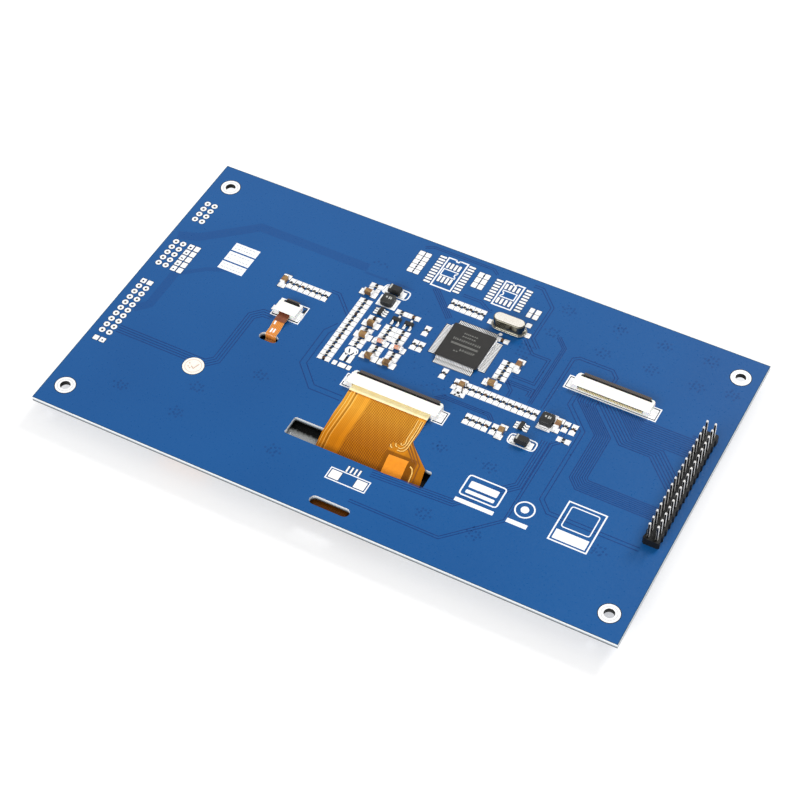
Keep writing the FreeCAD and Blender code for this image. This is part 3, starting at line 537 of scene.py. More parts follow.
# painted shade and light: the can's sides dark and its top pale, though both are the same steel
CAN_SHADED = metal("can_steel", (0.20, 0.19, 0.15, 1), (0.14, 0.13, 0.10, 1), 0.12, 0.6, 1.0, 0.006)
RIM = metal("can_rim", (0.62, 0.60, 0.54, 1), (0.42, 0.40, 0.34, 1), 0.2, 0.8, 0.8, 0.006)
CAN_TOP_LIT = metal("can_top_painted_light", (0.98, 0.94, 0.86, 1), (0.92, 0.86, 0.76, 1), 0.3, 1.0, 0.35, 0.01)
STEEL = steel_sheet("sheet_steel")
EPOXY = epoxy("epoxy", rgb(28, 27, 26), rgb(44, 42, 40))
BLACK = epoxy("black_epoxy", rgb(20, 20, 21), rgb(48, 48, 48))
FERRITE = epoxy("ferrite", rgb(30, 31, 30), rgb(54, 54, 52))
MARK = ink("laser_mark", rgb(196, 196, 190), rgb(130, 130, 124))
CHIP_MARK = ink("chip_mark", rgb(140, 140, 135), rgb(92, 92, 88))
HOUSING = moulded("housing", rgb(252, 251, 247), rgb(246, 243, 234), 0.42, 5.0, 0.01, 0.1)
HEADER = moulded("header_plastic", rgb(9, 9, 9), rgb(3, 3, 3), 0.55, 5.0, 0.02)
FOAM = foam("foam_tape")
# painted shade: black sheets where the steel under the slots lies in shadow
SLOT_SHADE = painted_shade_film("slot_painted_shade_film")
FRONT = glass_front("front_glass")
PANEL_GLASS = clear_plate("panel_glass", rgb(34, 38, 42))
POLARIZER = film("polarizer", rgb(20, 21, 24), rgb(34, 35, 40), 0.25)
SHEET = film("optical_sheet", rgb(236, 240, 240), rgb(214, 220, 222), 0.4, 0.1)
REFLECTOR = film("reflector_sheet", rgb(244, 246, 246), rgb(220, 224, 226), 0.25)
FRAME_WHITE = moulded("moulded_frame", rgb(240, 240, 234), rgb(222, 222, 214), 0.5)
STRIP = film("lamp_strip", rgb(240, 236, 220), rgb(220, 206, 170), 0.4)
LAMPS = lamp_body("lamp_body")
ADHESIVE = film("adhesive", rgb(205, 210, 212), rgb(188, 194, 198), 0.35)
DISPLAY_FILM = display_film("display_film")
TOUCH_FILM = touch_film("touch_film")
FLEX_LINE = metal("film_copper", rgb(255, 208, 116), rgb(248, 188, 88), 0.5, 0.8, 0.0, 0.003)
# dark gaps on the film, also a painted shadow line at the mouth
FLEX_DARK_AND_SHADE = ink("film_gap_and_painted_shade", rgb(140, 80, 6), rgb(112, 60, 0))
FLEX_PATCH = metal("film_patch", rgb(241, 148, 0), rgb(233, 139, 0), 0.6, 1.0, 0.0, 0.003)
PALE_STRIP = moulded("pale_stiffener", rgb(255, 244, 200), rgb(252, 234, 176), 0.5, 2.0, 0.01)
BROWN_STRIP = moulded("brown_stiffener", rgb(138, 78, 50), rgb(118, 62, 38), 0.42, 2.0, 0.01)
TAN = ceramic("tan_ceramic", [rgb(108, 78, 42), rgb(160, 126, 74), rgb(134, 92, 58)], 0.45)
BROWN = ceramic("brown_ceramic", [rgb(78, 52, 34), rgb(108, 72, 44), rgb(60, 42, 32)], 0.45)
ALUMINA = ceramic("alumina", [rgb(226, 224, 216), rgb(238, 236, 230)], 0.5)
RESISTIVE = epoxy("resistor_glaze", rgb(24, 24, 26), rgb(40, 40, 44))
DIODE_GLASS = diode_glass("diode_glass")
PAPER = paper("paper")
PAPER_MARK = ink("paper_mark", rgb(206, 178, 160), rgb(226, 206, 190))


# Meshes

def rounded_ring(length, width, radius, steps=2):
    """Outline of a rounded rectangle about zero."""
    points = []
    for turn, (sx, sy) in enumerate([(1, 1), (-1, 1), (-1, -1), (1, -1)]):
        for step in range(steps + 1):
            t = math.pi / 2 * (turn + step / steps)
            points.append((sx * (length / 2 - radius) + radius * math.cos(t),
                           sy * (width / 2 - radius) + radius * math.sin(t)))
    return points


def corners(x0, x1, y0, y1):
    return [(x0, y0), (x1, y0), (x1, y1), (x0, y1)]


def circle(radius, sides=32):
    turns = [2 * math.pi * i / sides for i in range(sides)]
    return [(radius * math.cos(t), radius * math.sin(t)) for t in turns]


def moved(points, place, angle=0.0):
    """Points in plan, turned by degrees and moved to a place."""
    c, s = math.cos(math.radians(angle)), math.sin(math.radians(angle))
    return [(place[0] + c * x - s * y, place[1] + s * x + c * y) for x, y in points]


def level(outline, z):
    return [(x, y, z) for x, y in outline]


def evenly(count, pitch):
    return [(i - (count - 1) / 2) * pitch for i in range(count)]


class Piece:
    """Collects faces of one visual piece, and makes one object of them."""

    def __init__(self, name, material, slot, body="module"):
        self.name, self.material, self.slot, self.body = name, material, slot, body
        self.points, self.faces = [], []

    def add(self, points, faces):
        first = len(self.points)
        self.points += points
        self.faces += [[first + i for i in face] for face in faces]

    def rings(self, rings, top=True, bottom=False):
        """A skin over rings of equal count, each a list of points in space."""
        count = len(rings[0])
        faces = []
        for start in range(0, (len(rings) - 1) * count, count):
            for i in range(count):
                j = (i + 1) % count
                faces.append([start + i, start + j, start + count + j, start + count + i])
        if top:
            faces.append([(len(rings) - 1) * count + i for i in range(count)])
        if bottom:
            faces.append(list(reversed(range(count))))
        self.add([p for ring in rings for p in ring], faces)

    def slab(self, outline, foot, top):
        """An upright plate, open below, from an outline in plan."""
        self.rings([level(outline, foot), level(outline, top)])

    def rect(self, x0, x1, y0, y1, foot, top, radius=0.0):
        outline = corners(x0, x1, y0, y1)
        if radius:
            centre = ((x0 + x1) / 2, (y0 + y1) / 2)
            outline = moved(rounded_ring(x1 - x0, y1 - y0, radius), centre)
        self.slab(outline, foot, top)

    def band(self, outer, inner, foot, top):
        """A flat ring between two outlines of equal count."""
        self.rings([level(outer, foot), level(outer, top), level(inner, top), level(inner, foot)],
                   False)

    def hoop(self, centre, outer, inner, sides, foot, top):
        """A flat ring between two circles."""
        self.band(moved(circle(outer, sides), centre), moved(circle(inner, sides), centre),
                  foot, top)

    def frame(self, x0, x1, y0, y1, width, foot, top, radius=0.0):
        """A line drawn round a rectangle."""
        centre = ((x0 + x1) / 2, (y0 + y1) / 2)
        r = max(radius, 0.001)
        outer = rounded_ring(x1 - x0, y1 - y0, r)
        inner = rounded_ring(x1 - x0 - 2 * width, y1 - y0 - 2 * width, max(r - width, 0.0005))
        self.band(moved(outer, centre), moved(inner, centre), foot, top)

    def line(self, path, width, foot, top, offset=0.0):
        """A flat line along a path in plan, moved sideways by an offset."""
        steps = [(Vector(b) - Vector(a)).normalized() for a, b in zip(path, path[1:])]
        sides = []
        for i, p in enumerate(path):
            across = [Vector((-d.y, d.x)) for d in steps[max(i - 1, 0):i + 1]]
            n = sum(across, Vector((0, 0))).normalized()
            stretch = 1.0 / max(0.3, n.dot(across[0]))
            sides.append([tuple(Vector(p) + n * stretch * (offset + side * width / 2))
                          for side in (-1, 1)])
        for (right, left), (next_right, next_left) in zip(sides, sides[1:]):
            self.slab([right, next_right, next_left, left], foot, top)

    def block(self, place, angle, size, foot, bevel):
        """A block with eased edges, turned on the board."""
        lx, ly, lz = size
        rings = []
        for inset, z in ((bevel, foot), (0, foot + bevel), (0, foot + lz - bevel),
                         (bevel, foot + lz)):
            outline = rounded_ring(lx - 2 * inset, ly - 2 * inset, max(bevel - inset, 0.002), 1)
            rings.append(level(moved(outline, place, angle), z))
        self.rings(rings, True, True)

    def make(self, smooth=False, sharp=40):
        mesh = bpy.data.meshes.new(self.name)
        mesh.from_pydata([(x * MM, y * MM, z * MM) for x, y, z in self.points], [], self.faces)
        mesh.validate()
        if smooth:
            mesh.polygons.foreach_set("use_smooth", [True] * len(mesh.polygons))
            mesh.set_sharp_from_angle(angle=math.radians(sharp))
        mesh.materials.append(self.material)
        mesh.update()
        piece = bpy.data.objects.new(self.name, mesh)
        bpy.context.collection.objects.link(piece)
        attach(piece, self.body)
        return piece


# The board's places, in the frame, the same as in the CAD source

RESISTOR_ROWS = [
    ((-48.75, 19.25), (2.0, 0.0), 7, 90), ((-25.0, -2.6), (0.0, 1.98), 14, 0),
    ((-25.0, 30.2), (0.0, 2.0), 1, 0), ((-19.1, 18.1), (0.0, -5.2), 2, 0),
    ((-19.1, 8.3), (0.0, -2.0), 2, 0), ((-12.9, 23.9), (3.95, 0.0), 2, 0),
    ((-13.0, 16.9), (0.0, -2.0), 3, 0), ((-8.8, 16.9), (0.0, -2.0), 3, 0),
    ((-13.0, 7.9), (0.0, -1.9), 2, 0), ((-7.3, 7.9), (0.0, -1.9), 2, 0),
    ((-3.1, 20.8), (0.0, 0.0), 1, 90), ((-3.8, 14.3), (2.05, 0.0), 2, 90),
    ((9.15, 8.2), (0.0, 0.0), 1, 90), ((18.7, 27.9), (0.0, 0.0), 1, 0),
    ((24.4, 20.35), (0.0, -2.05), 4, 0), ((14.2, 6.2), (0.0, 0.0), 1, 90),
    ((16.4, 3.2), (0.0, 0.0), 1, 0), ((17.8, 6.2), (1.98, 0.0), 12, 90),
    ((49.5, 6.2), (2.4, 0.0), 2, 90), ((51.0, 1.3), (0.0, 0.0), 1, 0),
    ((23.0, -4.1), (2.0, 0.0), 4, 90), ((31.5, -4.1), (0.0, 0.0), 1, 90),
    ((-1.0, 34.3), (1.94, 0.0), 6, 90),
]
RESISTORS = [((x + i * dx, y + i * dy), angle)
             for (x, y), (dx, dy), count, angle in RESISTOR_ROWS for i in range(count)]
CAPACITORS = [
    ((-51.0, 19.2), 90), ((-25.8, 26.5), 0), ((-19.0, 15.5), 0), ((-19.0, 10.4), 0),
    ((-13.5, 3.7), 0), ((-7.5, 3.7), 0), ((23.4, 11.0), 0), ((27.4, 20.9), 90),
    ((16.0, 6.0), 90), ((47.2, 5.7), 90), ((33.8, -4.0), 90),
]
DIODES = [((-18.8, 30.5), 0), ((40.7, -4.9), 0)]
GLASS_DIODES = [(-13.1, 10.4), (-7.4, 10.4)]
INDUCTORS = [((-18.75, 25.9), 0), ((43.9, 5.5), 90)]
TRANSISTORS = [
    ((-12.9, 20.5), 0, (2, 1)), ((-8.8, 20.5), 0, (2, 1)),
    ((-18.8, 21.3), 90, (3, 3)), ((38.15, 0.5), 90, (3, 3)),
]
CONTROLLER = (10.3, 20.1)
CRYSTAL = (18.35, 33.1)
STICKER = (-57.6, -23.25)
CONNECTORS = {"display": ((0.7, -9.0), 50), "spare": ((56.8, 20.4), 40),
              "touch": ((-43.6, 6.1), 6)}
PAD_REACH = {"display": (15.95, 16.45), "spare": (13.95, 14.05), "touch": (4.1, 4.6)}
FIXINGS = [(sx * 86.9, sy * 46.9) for sx in (-1, 1) for sy in (-1, 1)]
PAD_GROUPS = [(37.1, 4), (18.3, 5), (-3.1, 9)]
HOLES = [(-89.45 + PITCH * column, top - PITCH * row)
         for top, rows in PAD_GROUPS for row in range(rows) for column in (0, 1)]
HEADER_PINS = [(87.65 + side * PITCH / 2, y) for side in (-1, 1) for y in evenly(17, PITCH)]


# Pads, solder and plated holes

# Bare laminate round the pads, also painted shade under the resistors
CLEARANCE_AND_SHADE = Piece("mask_clearance_and_shade", BARE_AND_SHADE_BLACK, "board_blue")
CLEARANCE_RIM = 0.13
SOLDER_FOOT = PAD_TOP + 0.012
SOLDER_STEPS = 5
SOLDER_ACROSS = [(-1, 0.0), (-0.8, 0.8), (-0.4, 1.0), (0.4, 1.0), (0.8, 0.8), (1, 0.0)]
CONTACT_PITCH = 0.5


def housing_half(contacts):
    """Half the length of a cable connector's housing."""
    return (contacts - 1) * CONTACT_PITCH / 2 + 2.45


def lead_offsets(count):
    """Places of a transistor's leads along one of its sides."""
    return evenly(count, 1.9 if count == 2 else 0.95)


def pad(pads, place, angle, x0, x1, y0, y1, radius=0.16):
    """One pad given in a part's own directions, and bare laminate round it."""
    middle = ((x0 + x1) / 2, (y0 + y1) / 2)
    for piece, rim, top in ((pads, 0, PAD_TOP), (CLEARANCE_AND_SHADE, CLEARANCE_RIM, DARK_LAYER_TOP)):
        outline = rounded_ring(x1 - x0 + 2 * rim, y1 - y0 + 2 * rim, radius + rim)
        piece.slab(moved(moved(outline, middle), place, angle), BOARD_TOP, top)


def fillet(solder, place, angle, start, end, height, wide, spread):
    """Solder that climbs from a pad's end to a terminal, hollow in profile."""
    count = len(SOLDER_ACROSS)
    points, faces = [], []
    for k in range(SOLDER_STEPS + 1):
        f = k / SOLDER_STEPS
        half = wide / 2 + (spread - wide) / 2 * f
        row = moved([(start + (end - start) * f, half * t) for t, _ in SOLDER_ACROSS], place, angle)
        points += [(x, y, SOLDER_FOOT + height * (1 - f) ** 2.4 * lift)
                   for (x, y), (_, lift) in zip(row, SOLDER_ACROSS)]
    for first in range(0, SOLDER_STEPS * count, count):
        for i in range(first, first + count - 1):
            face = [i, i + count, i + count + 1, i + 1]
            faces.append(face if end > start else face[::-1])
    solder.add(points, faces)


def pad_pair(pads, solder, place, angle, inner, outer, half, joint=None):
    """The two end pads of a part, with solder where joint gives its ends, height and widths."""
    for side in (-1, 1):
        pad(pads, place, angle, *sorted((side * inner, side * outer)), -half, half)
        if joint:
            start, end, height, wide, spread = joint
            fillet(solder, place, angle, side * start, side * end, height, wide, spread)


def chip_parts():
    """Chip resistors and capacitors: bodies, plated ends, pads and solder, and painted shade under
    the resistors.
    """
    bodies = Piece("chip_bodies", ALUMINA, "ceramic_white")
    glaze = Piece("chip_glaze", RESISTIVE, "ceramic_white")
    tans = Piece("chip_ceramics", TAN, "ceramic_tan")
    browns = Piece("small_ceramics", BROWN, "ceramic_tan")
    ends = Piece("chip_ends", TIN, "tinned")
    pads = Piece("chip_pads", SOLDER, "tinned")
    solder = Piece("chip_solder", SOLDER, "tinned")
    prints = Piece("chip_row_prints", SILK, "board_blue")

    def plated_ends(place, angle, reach, size, bevel):
        for side in (-1, 1):
            middle = moved([(side * reach, 0)], place, angle)[0]
            ends.block(middle, angle, size, BOARD_TOP, bevel)

    for index, (place, angle) in enumerate(RESISTORS):
        # painted shade under the resistor, dark between its pads
        shade_under = moved(corners(-0.5, 0.5, -0.84, 0.84), place, angle)
        CLEARANCE_AND_SHADE.slab(shade_under, BOARD_TOP, DARK_LAYER_TOP)
        if index % 5 == 2:
            browns.block(place, angle, (1.55, 0.76, 0.44), BOARD_TOP, 0.03)
        else:
            bodies.block(place, angle, (1.55, 0.77, 0.40), BOARD_TOP, 0.02)
            glaze.block(place, angle, (1.0, 0.76, 0.035), BOARD_TOP + 0.40, 0.01)
        plated_ends(place, angle, 0.62, (0.36, 0.8, 0.45), 0.04)
        pad_pair(pads, solder, place, angle, 0.44, 1.9, 0.91, (0.79, 1.75, 0.26, 0.8, 1.5))
        for side in (-1, 1):
            edge = corners(*sorted((side * 1.93, side * 2.08)), -1.0, 1.0)
            prints.slab(moved(edge, place, angle), BOARD_TOP, DARK_LAYER_TOP + FILM)
    for place, angle in CAPACITORS:
        tans.block(place, angle, (3.1, 1.56, 1.45), BOARD_TOP, 0.06)
        plated_ends(place, angle, 1.32, (0.56, 1.6, 1.5), 0.09)
        pad_pair(pads, solder, place, angle, 0.95, 2.85, 1.2, (1.58, 2.7, 0.85, 1.5, 2.2))
    chips = bodies.make()
    for piece in (glaze, tans, browns, ends, pads):
        piece.make()
    solder.make(True)
    prints.make()
    for node in ("chip_resistors", "ceramic_capacitors"):
        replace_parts(chips, node)


# Footprints without a part: the X ranges of their columns, first Y, step, count, half height
BARE_COLUMNS = [
    (((8.1, 9.85), (10.3, 12.05)), 73.4, -PITCH, 5, 1.05),
    (((2.8, 4.5), (5.0, 6.8)), 54.5, -26.3, 2, 0.9),
    (((72.8, 74.65), (74.95, 76.8)), 96.3, 1.98, 5, 0.88),
    (((93.2, 94.9), (95.25, 96.95)), 99.55, 2.35, 3, 1.05),
    (((113.5, 115.0), (115.5, 117.2)), 95.9, 2.1, 2, 0.97),
    (((79.3, 81.5), (89.3, 91.5)), 105.75, -PITCH / 2, 10, 0.38),
    (((99.2, 101.4), (109.2, 111.3)), 104.75, -PITCH / 2, 8, 0.38),
]
# Rows of such pads: their middles in X, half their length in X, and the Y range of each row
BARE_ROWS = [
    ((83.3, 84.55, 85.85, 87.1), 0.4, ((102.1, 104.5), (95.8, 98.4))),
    ((103.1, 104.4, 105.75, 107.1), 0.4, ((102.3, 104.6), (96.0, 98.4))),
    ((72.85, 75.15), 0.72, ((54.0, 57.2),)),
]
BARE_SINGLES = [
    (115.2, 116.9, 91.1, 92.9), (66.1, 67.6, 82.9, 84.25), (68.4, 69.9, 82.9, 84.25),
    (70.9, 72.3, 51.5, 53.2), (72.9, 75.3, 51.5, 53.2), (75.7, 77.0, 51.5, 53.2),
    (108.3, 110.5, 57.3, 59.6), (90.65, 93.9, 14.0, 17.0), (98.7, 102.05, 14.0, 17.0),
]
# Places of the dark joints between bare pads, and dark strokes in the footprint of a tab
BARE_JOINTS = [(74.8, 96.3 + 1.98 * k) for k in range(5)]
BARE_JOINTS += [(95.07, 101.9), (95.07, 104.25), (115.25, 97.0)]
BARE_JOINTS += [(8.95, 73.2 - PITCH * k) for k in range(5)] + [(3.6, 54.4), (5.9, 28.1)]
TAB_STROKES = [
    ([(73.0, 59.2), (73.3, 58.3), (73.6, 57.7)], 0.42),
    ([(74.9, 58.3), (74.6, 57.4), (74.2, 56.9)], 0.42),
    ([(72.6, 57.1), (73.2, 56.6)], 0.4), ([(75.3, 59.1), (75.6, 58.4)], 0.25),
    ([(74.0, 54.0), (74.0, 56.1)], 0.75),
]


def bare_footprints():
    """Pads with nothing on them."""
    pads = Piece("bare_pads", SOLDER, "tinned")

    def put(x0, x1, y0, y1, radius=0.16):
        pad(pads, (0, 0), 0, *span(x0, x1, y0, y1), radius)

    for columns, first, step, count, half in BARE_COLUMNS:
        for k in range(count):
            for x0, x1 in columns:
                put(x0, x1, first + step * k - half, first + step * k + half)
    for middles, half, rows in BARE_ROWS:
        for x in middles:
            for y0, y1 in rows:
                put(x - half, x + half, y0, y1)
    for sides in BARE_SINGLES:
        put(*sides)
    put(71.8, 76.0, 57.0, 60.2, 1.4)
    for x in (94.5, 95.75, 97.0, 98.2):
        put(x - 0.26, x + 0.26, 17.9, 20.1, 0.05)
    pads.make()
    strokes = Piece("tab_footprint_strokes", BARE, "board_blue")
    for x, y in BARE_JOINTS:
        wide, tall = rng.uniform(0.4, 0.8), rng.uniform(0.4, 0.7)
        strokes.rect(*span(x - wide / 2, x + wide / 2, y - tall / 2, y + tall / 2), BOARD_TOP,
                     PAD_TOP + FILM)
    for path, width in TAB_STROKES:
        strokes.line([at(x, y) for x, y in path], width, BOARD_TOP, PAD_TOP + FILM)
    strokes.make()


def part_pads():
    """Pads and solder under the larger parts."""
    pads = Piece("part_pads", SOLDER, "tinned")
    solder = Piece("part_solder", SOLDER, "tinned")
    glass_diodes_lying = [(place, 0) for place in GLASS_DIODES]
    for parts, inner, outer, half, joint in (
            (DIODES, 1.5, 3.6, 1.25, (2.6, 3.3, 0.6, 1.5, 2.2)),
            (INDUCTORS, 1.1, 3.05, 2.1, (2.15, 2.95, 0.35, 3.0, 3.9)),
            (glass_diodes_lying, 1.0, 2.6, 1.1, (1.74, 2.5, 0.8, 1.2, 1.9)),
            ([(CRYSTAL, 0)], 2.4, 7.0, 0.95, None)):
        for place, angle in parts:
            pad_pair(pads, solder, place, angle, inner, outer, half, joint)
    for place, angle, sides in TRANSISTORS:
        for sign, count in zip((-1, 1), sides):
            half = 0.42 if count == 2 else 0.34
            for offset in lead_offsets(count):
                y0, y1 = sorted((sign * 0.75, sign * 2.15))
                pad(pads, place, angle, offset - half, offset + half, y0, y1, 0.1)
    for angle in (0, 90, 180, 270):
        for offset in evenly(25, CONTACT_PITCH):
            outline = moved(rounded_ring(2.2, 0.29, 0.1, 1), (8.2, offset))
            pads.slab(moved(outline, CONTROLLER, angle), BOARD_TOP, PAD_TOP)
        row = moved(corners(7.0, 9.42, -6.4, 6.4), CONTROLLER, angle)
        CLEARANCE_AND_SHADE.slab(row, BOARD_TOP, DARK_LAYER_TOP)
    for name, (place, contacts) in CONNECTORS.items():
        for side, reach in zip((-1, 1), PAD_REACH[name]):
            x0, x1 = sorted((side * (housing_half(contacts) - 0.1), side * reach))
            pad(pads, place, 0, x0, x1, 0.0, 3.85)
        for x in evenly(contacts, CONTACT_PITCH):
            outline = moved(rounded_ring(0.3, 1.3, 0.08, 1), (x, 4.1))
            pads.slab(moved(outline, place), BOARD_TOP, PAD_TOP)
    pads.make()
    solder.make(True)
    CLEARANCE_AND_SHADE.make()


FIXING_BORE, HOLE_BORE = 1.585, 0.41
PIN_SOLDER = [(0.95, 0.0), (0.78, -0.12), (0.60, -0.35), (0.48, -0.65), (0.43, -0.9)]


def plated_holes():
    """Rings on both faces and barrels of the plated holes, the large barrels painted near black as
    shade, and the solder under the header.
    """
    rings = Piece("plated_rings", SOLDER, "tinned")
    barrels = Piece("plated_barrels", BARREL_PAINTED_SHADE, "tinned")
    small_barrels = Piece("small_plated_barrels", SMALL_BARREL, "tinned")
    dark_bands = Piece("mask_openings", BARE, "board_blue")
    grooves = Piece("screw_marks", GROOVE, "tinned")

    def hole(piece, place, bore, outer, opening, sides, wall_sides):
        """A ring on each face, a wall in the bore and bare laminate round the upper ring."""
        outside, inside = moved(circle(outer, sides), place), moved(circle(bore, sides), place)
        rings.band(outside, inside, BOARD_TOP, PAD_TOP)
        rings.band(outside[::-1], inside[::-1], BOARD_FOOT, BOARD_FOOT - PAD_TOP + BOARD_TOP)
        wall = moved(circle(bore, wall_sides), place)[::-1]
        piece.rings([level(wall, BOARD_FOOT), level(wall, PAD_TOP)], False)
        dark_bands.hoop(place, *opening, sides, BOARD_TOP, OPENING_TOP)

    for place in FIXINGS:
        hole(barrels, place, FIXING_BORE, 3.05, (3.3, 3.0), 64, 64)
        grooves.hoop(place, 2.36, 2.22, 64, PAD_TOP, PAD_TOP + 0.005)
    for place in HOLES:
        hole(small_barrels, place, HOLE_BORE, 0.98, (1.12, 0.96), 28, 20)
    for place in HEADER_PINS:
        rings.rings([level(moved(circle(radius, 20), place)[::-1], BOARD_FOOT + depth)
                     for radius, depth in PIN_SOLDER], False)
    for piece in (rings, barrels, small_barrels):
        piece.make(True)
    dark_bands.make()
    grooves.make()


# Silkscreen: frames as their sides, line width and corner radius, bars as sides and radius

PRINTED_FRAMES = [
    (70.1, 79.0, 83.8, 87.8, 0.4, 1.2), (129.4, 138.3, 48.4, 52.5, 0.4, 1.2),
    (77.1, 80.6, 45.4, 50.6, 0.35, 0), (107.0, 110.8, 45.4, 50.6, 0.35, 0),
    (135.2, 164.5, 74.8, 80.1, 0.4, 0), (44.8, 54.5, 60.4, 67.9, 0.35, 0),
    (71.0, 77.5, 78.7, 83.2, 0.3, 0), (134.7, 139.1, 57.2, 64.0, 0.3, 0),
    (89.95, 102.75, 13.3, 17.7, 0.35, 0), (125.8, 137.8, 25.6, 33.4, 0.45, 1.0),
    (154.5, 166.4, 22.9, 37.7, 0.45, 0), (156.0, 164.9, 28.4, 36.4, 0.35, 0.8),
]
PRINTED_BARS = [
    (20.6, 29.2, 69.9, 73.2, 0), (20.6, 29.2, 73.8, 77.7, 0), (20.6, 29.2, 78.3, 81.6, 0),
    (127.4, 136.2, 29.0, 31.4, 0.3), (127.4, 136.2, 26.9, 28.1, 0.3),
    (125.8, 137.8, 23.0, 24.4, 0.2), (141.9, 148.1, 22.9, 24.4, 0), (155.5, 165.4, 23.9, 27.3, 0),
]
# Bare chips: the sides of the outline and the middle of its notch, then the lines inside
CHIP_OUTLINES = [(82.1, 88.7, 93.7, 106.35, 85.3), (102.1, 108.3, 95.1, 105.5, 105.2)]
CHIP_LINES = [
    [(87.5, 99.4), (87.5, 98.8), (82.8, 98.8), (82.8, 101.5), (87.5, 101.5), (87.5, 100.9)],
    [(87.6, 101.0), (87.0, 100.5), (87.0, 99.8), (87.6, 99.3)],
    [(103.0, 99.5), (103.0, 99.0), (107.5, 99.0), (107.5, 101.7), (103.0, 101.7), (103.0, 101.1)],
    [(102.9, 101.2), (103.5, 100.6), (103.5, 99.9), (102.9, 99.4)],
]
WRITE_ON_LEFT, WRITE_ON_RIGHT = 21.3, 28.6
FIRST_LEAD_MARK = (110.1, 84.9)
ROUND_MARK = (145.0, 29.0)


def silkscreen():
    """White printing, with plain marks where the real board carries print of its maker."""
    silk = Piece("silkscreen_print", SILK, "paper_white")
    dots = Piece("write_on_rows", GREY_PRINT, "paper_white")

    def line(points, width):
        silk.line([at(x, y) for x, y in points], width, BOARD_TOP, SILK_TOP)

    for y in (70.9, 72.3, 74.9, 76.6, 79.4, 80.7):
        x = WRITE_ON_LEFT
        while x < WRITE_ON_RIGHT - 0.2:
            wide = rng.choice((0.3, 0.5, 0.8))
            sides = span(x, min(x + wide, WRITE_ON_RIGHT), y - 0.12, y + 0.12)
            dots.rect(*sides, SILK_TOP, SILK_TOP + FILM)
            x += wide + rng.choice((0.3, 0.5))
    dots.make()
    for x0, x1, y0, y1, notch in CHIP_OUTLINES:
        line([(notch - 0.7, y1), (x0, y1), (x0, y0), (x1, y0), (x1, y1), (notch + 0.7, y1)], 0.5)
        line([(notch - 0.75, y1 + 0.1), (notch - 0.3, y1 - 0.6), (notch + 0.3, y1 - 0.6),
              (notch + 0.75, y1 + 0.1)], 0.5)
    for points in CHIP_LINES:
        line(points, 0.4)
    for *sides, width, radius in PRINTED_FRAMES:
        silk.frame(*span(*sides), width, BOARD_TOP, SILK_TOP, radius)
    for *sides, radius in PRINTED_BARS:
        silk.rect(*span(*sides), BOARD_TOP, SILK_TOP, radius)
    silk.hoop(at(*ROUND_MARK), 3.0, 2.55, 40, BOARD_TOP, SILK_TOP)
    for place, radius, sides in ((FIRST_LEAD_MARK, 0.6, 24), (ROUND_MARK, 1.2, 32)):
        silk.slab(moved(circle(radius, sides), at(*place)), BOARD_TOP, SILK_TOP)
    silk.make()


# Copper under the mask

# Via clusters were read in a picture of the board, in its pixels; this is its scale
CLUSTER_FOOT = 886
CLUSTER_SCALE = (0.9639 / 8, 0.9949 / 8)
VIA_CLUSTERS = [(1030, 55), (1170, 55), (1290, 55), (1410, 50), (1025, 140), (1165, 145),
                (1290, 140), (1410, 140), (1497, 125), (945, 580), (1075, 580), (455, 580),
                (338, 683), (335, 770), (600, 765), (1000, 765), (1130, 765), (170, 760),
                (1400, 680)]
# Bundles of traces: path, count and pitch; pours: path and width
BUNDLES = [
    ([(7.5, 34.4), (37.6, 34.4), (40.3, 37.1), (40.3, 57.2), (42.9, 59.8), (46.0, 59.8)], 4, 0.9),
    ([(65.7, 66.0), (63.4, 62.0), (63.4, 48.0), (70.2, 41.0), (80.0, 41.0)], 2, 1.9),
    ([(56.6, 77.2), (59.5, 77.2), (66.2, 70.5)], 2, 0.9),
    ([(139.7, 54.0), (139.7, 35.8), (126.0, 22.0), (101.0, 20.8)], 4, 0.8),
    ([(139.9, 74.4), (139.9, 69.6), (147.5, 62.0), (147.5, 34.6), (151.0, 31.1), (178.5, 31.1)],
     2, 1.2),
    ([(117.5, 86.6), (121.9, 82.2), (127.3, 82.2), (127.3, 71.8), (120.3, 71.8)], 2, 0.8),
    ([(120.0, 69.2), (127.9, 69.2), (127.9, 66.5)], 3, 0.7),
    ([(129.4, 64.4), (129.4, 88.5), (126.0, 92.0)], 3, 0.55),
    ([(133.5, 64.4), (133.5, 86.0), (135.0, 87.2), (145.6, 87.2), (147.8, 85.0), (147.8, 82.0)],
     2, 0.9),
    ([(104.2, 53.6), (106.0, 55.3), (120.8, 55.3), (122.7, 53.4)], 3, 0.6),
    ([(84.2, 93.0), (93.6, 83.6)], 4, 0.6),
    ([(73.5, 106.9), (76.0, 108.2), (96.5, 108.2), (98.5, 106.6)], 2, 0.7),
    ([(110.5, 107.6), (113.5, 107.6), (119.3, 101.8), (119.3, 88.0), (122.5, 84.8)], 2, 0.9),
    ([(93.0, 94.2), (99.0, 94.2), (102.5, 92.0), (104.0, 92.0)], 2, 0.8),
    ([(176.0, 75.0), (178.5, 75.0)], 2, 0.6),
    ([(122.5, 63.9), (122.5, 66.5), (118.5, 70.5)], 2, 0.7),
    ([(143.0, 62.9), (143.0, 55.0), (141.6, 53.6), (141.6, 23.0), (128.0, 9.4), (100.0, 9.4)],
     2, 0.8),
]
POURS = [
    ([(2.5, 76.0), (9.0, 78.5), (24.0, 91.0), (62.0, 91.0)], 3.4),
    ([(10.5, 62.0), (10.5, 47.0), (7.0, 43.5)], 3.0),
    ([(9.5, 60.5), (18.0, 67.5), (27.0, 71.5)], 1.6),
    ([(62.0, 89.0), (79.0, 89.0)], 0.8),
]
SINGLE_VIAS = [(x, y) for x in (117.4, 118.6, 119.8, 121.0) for y in (80.2, 81.7, 83.2, 84.7)]
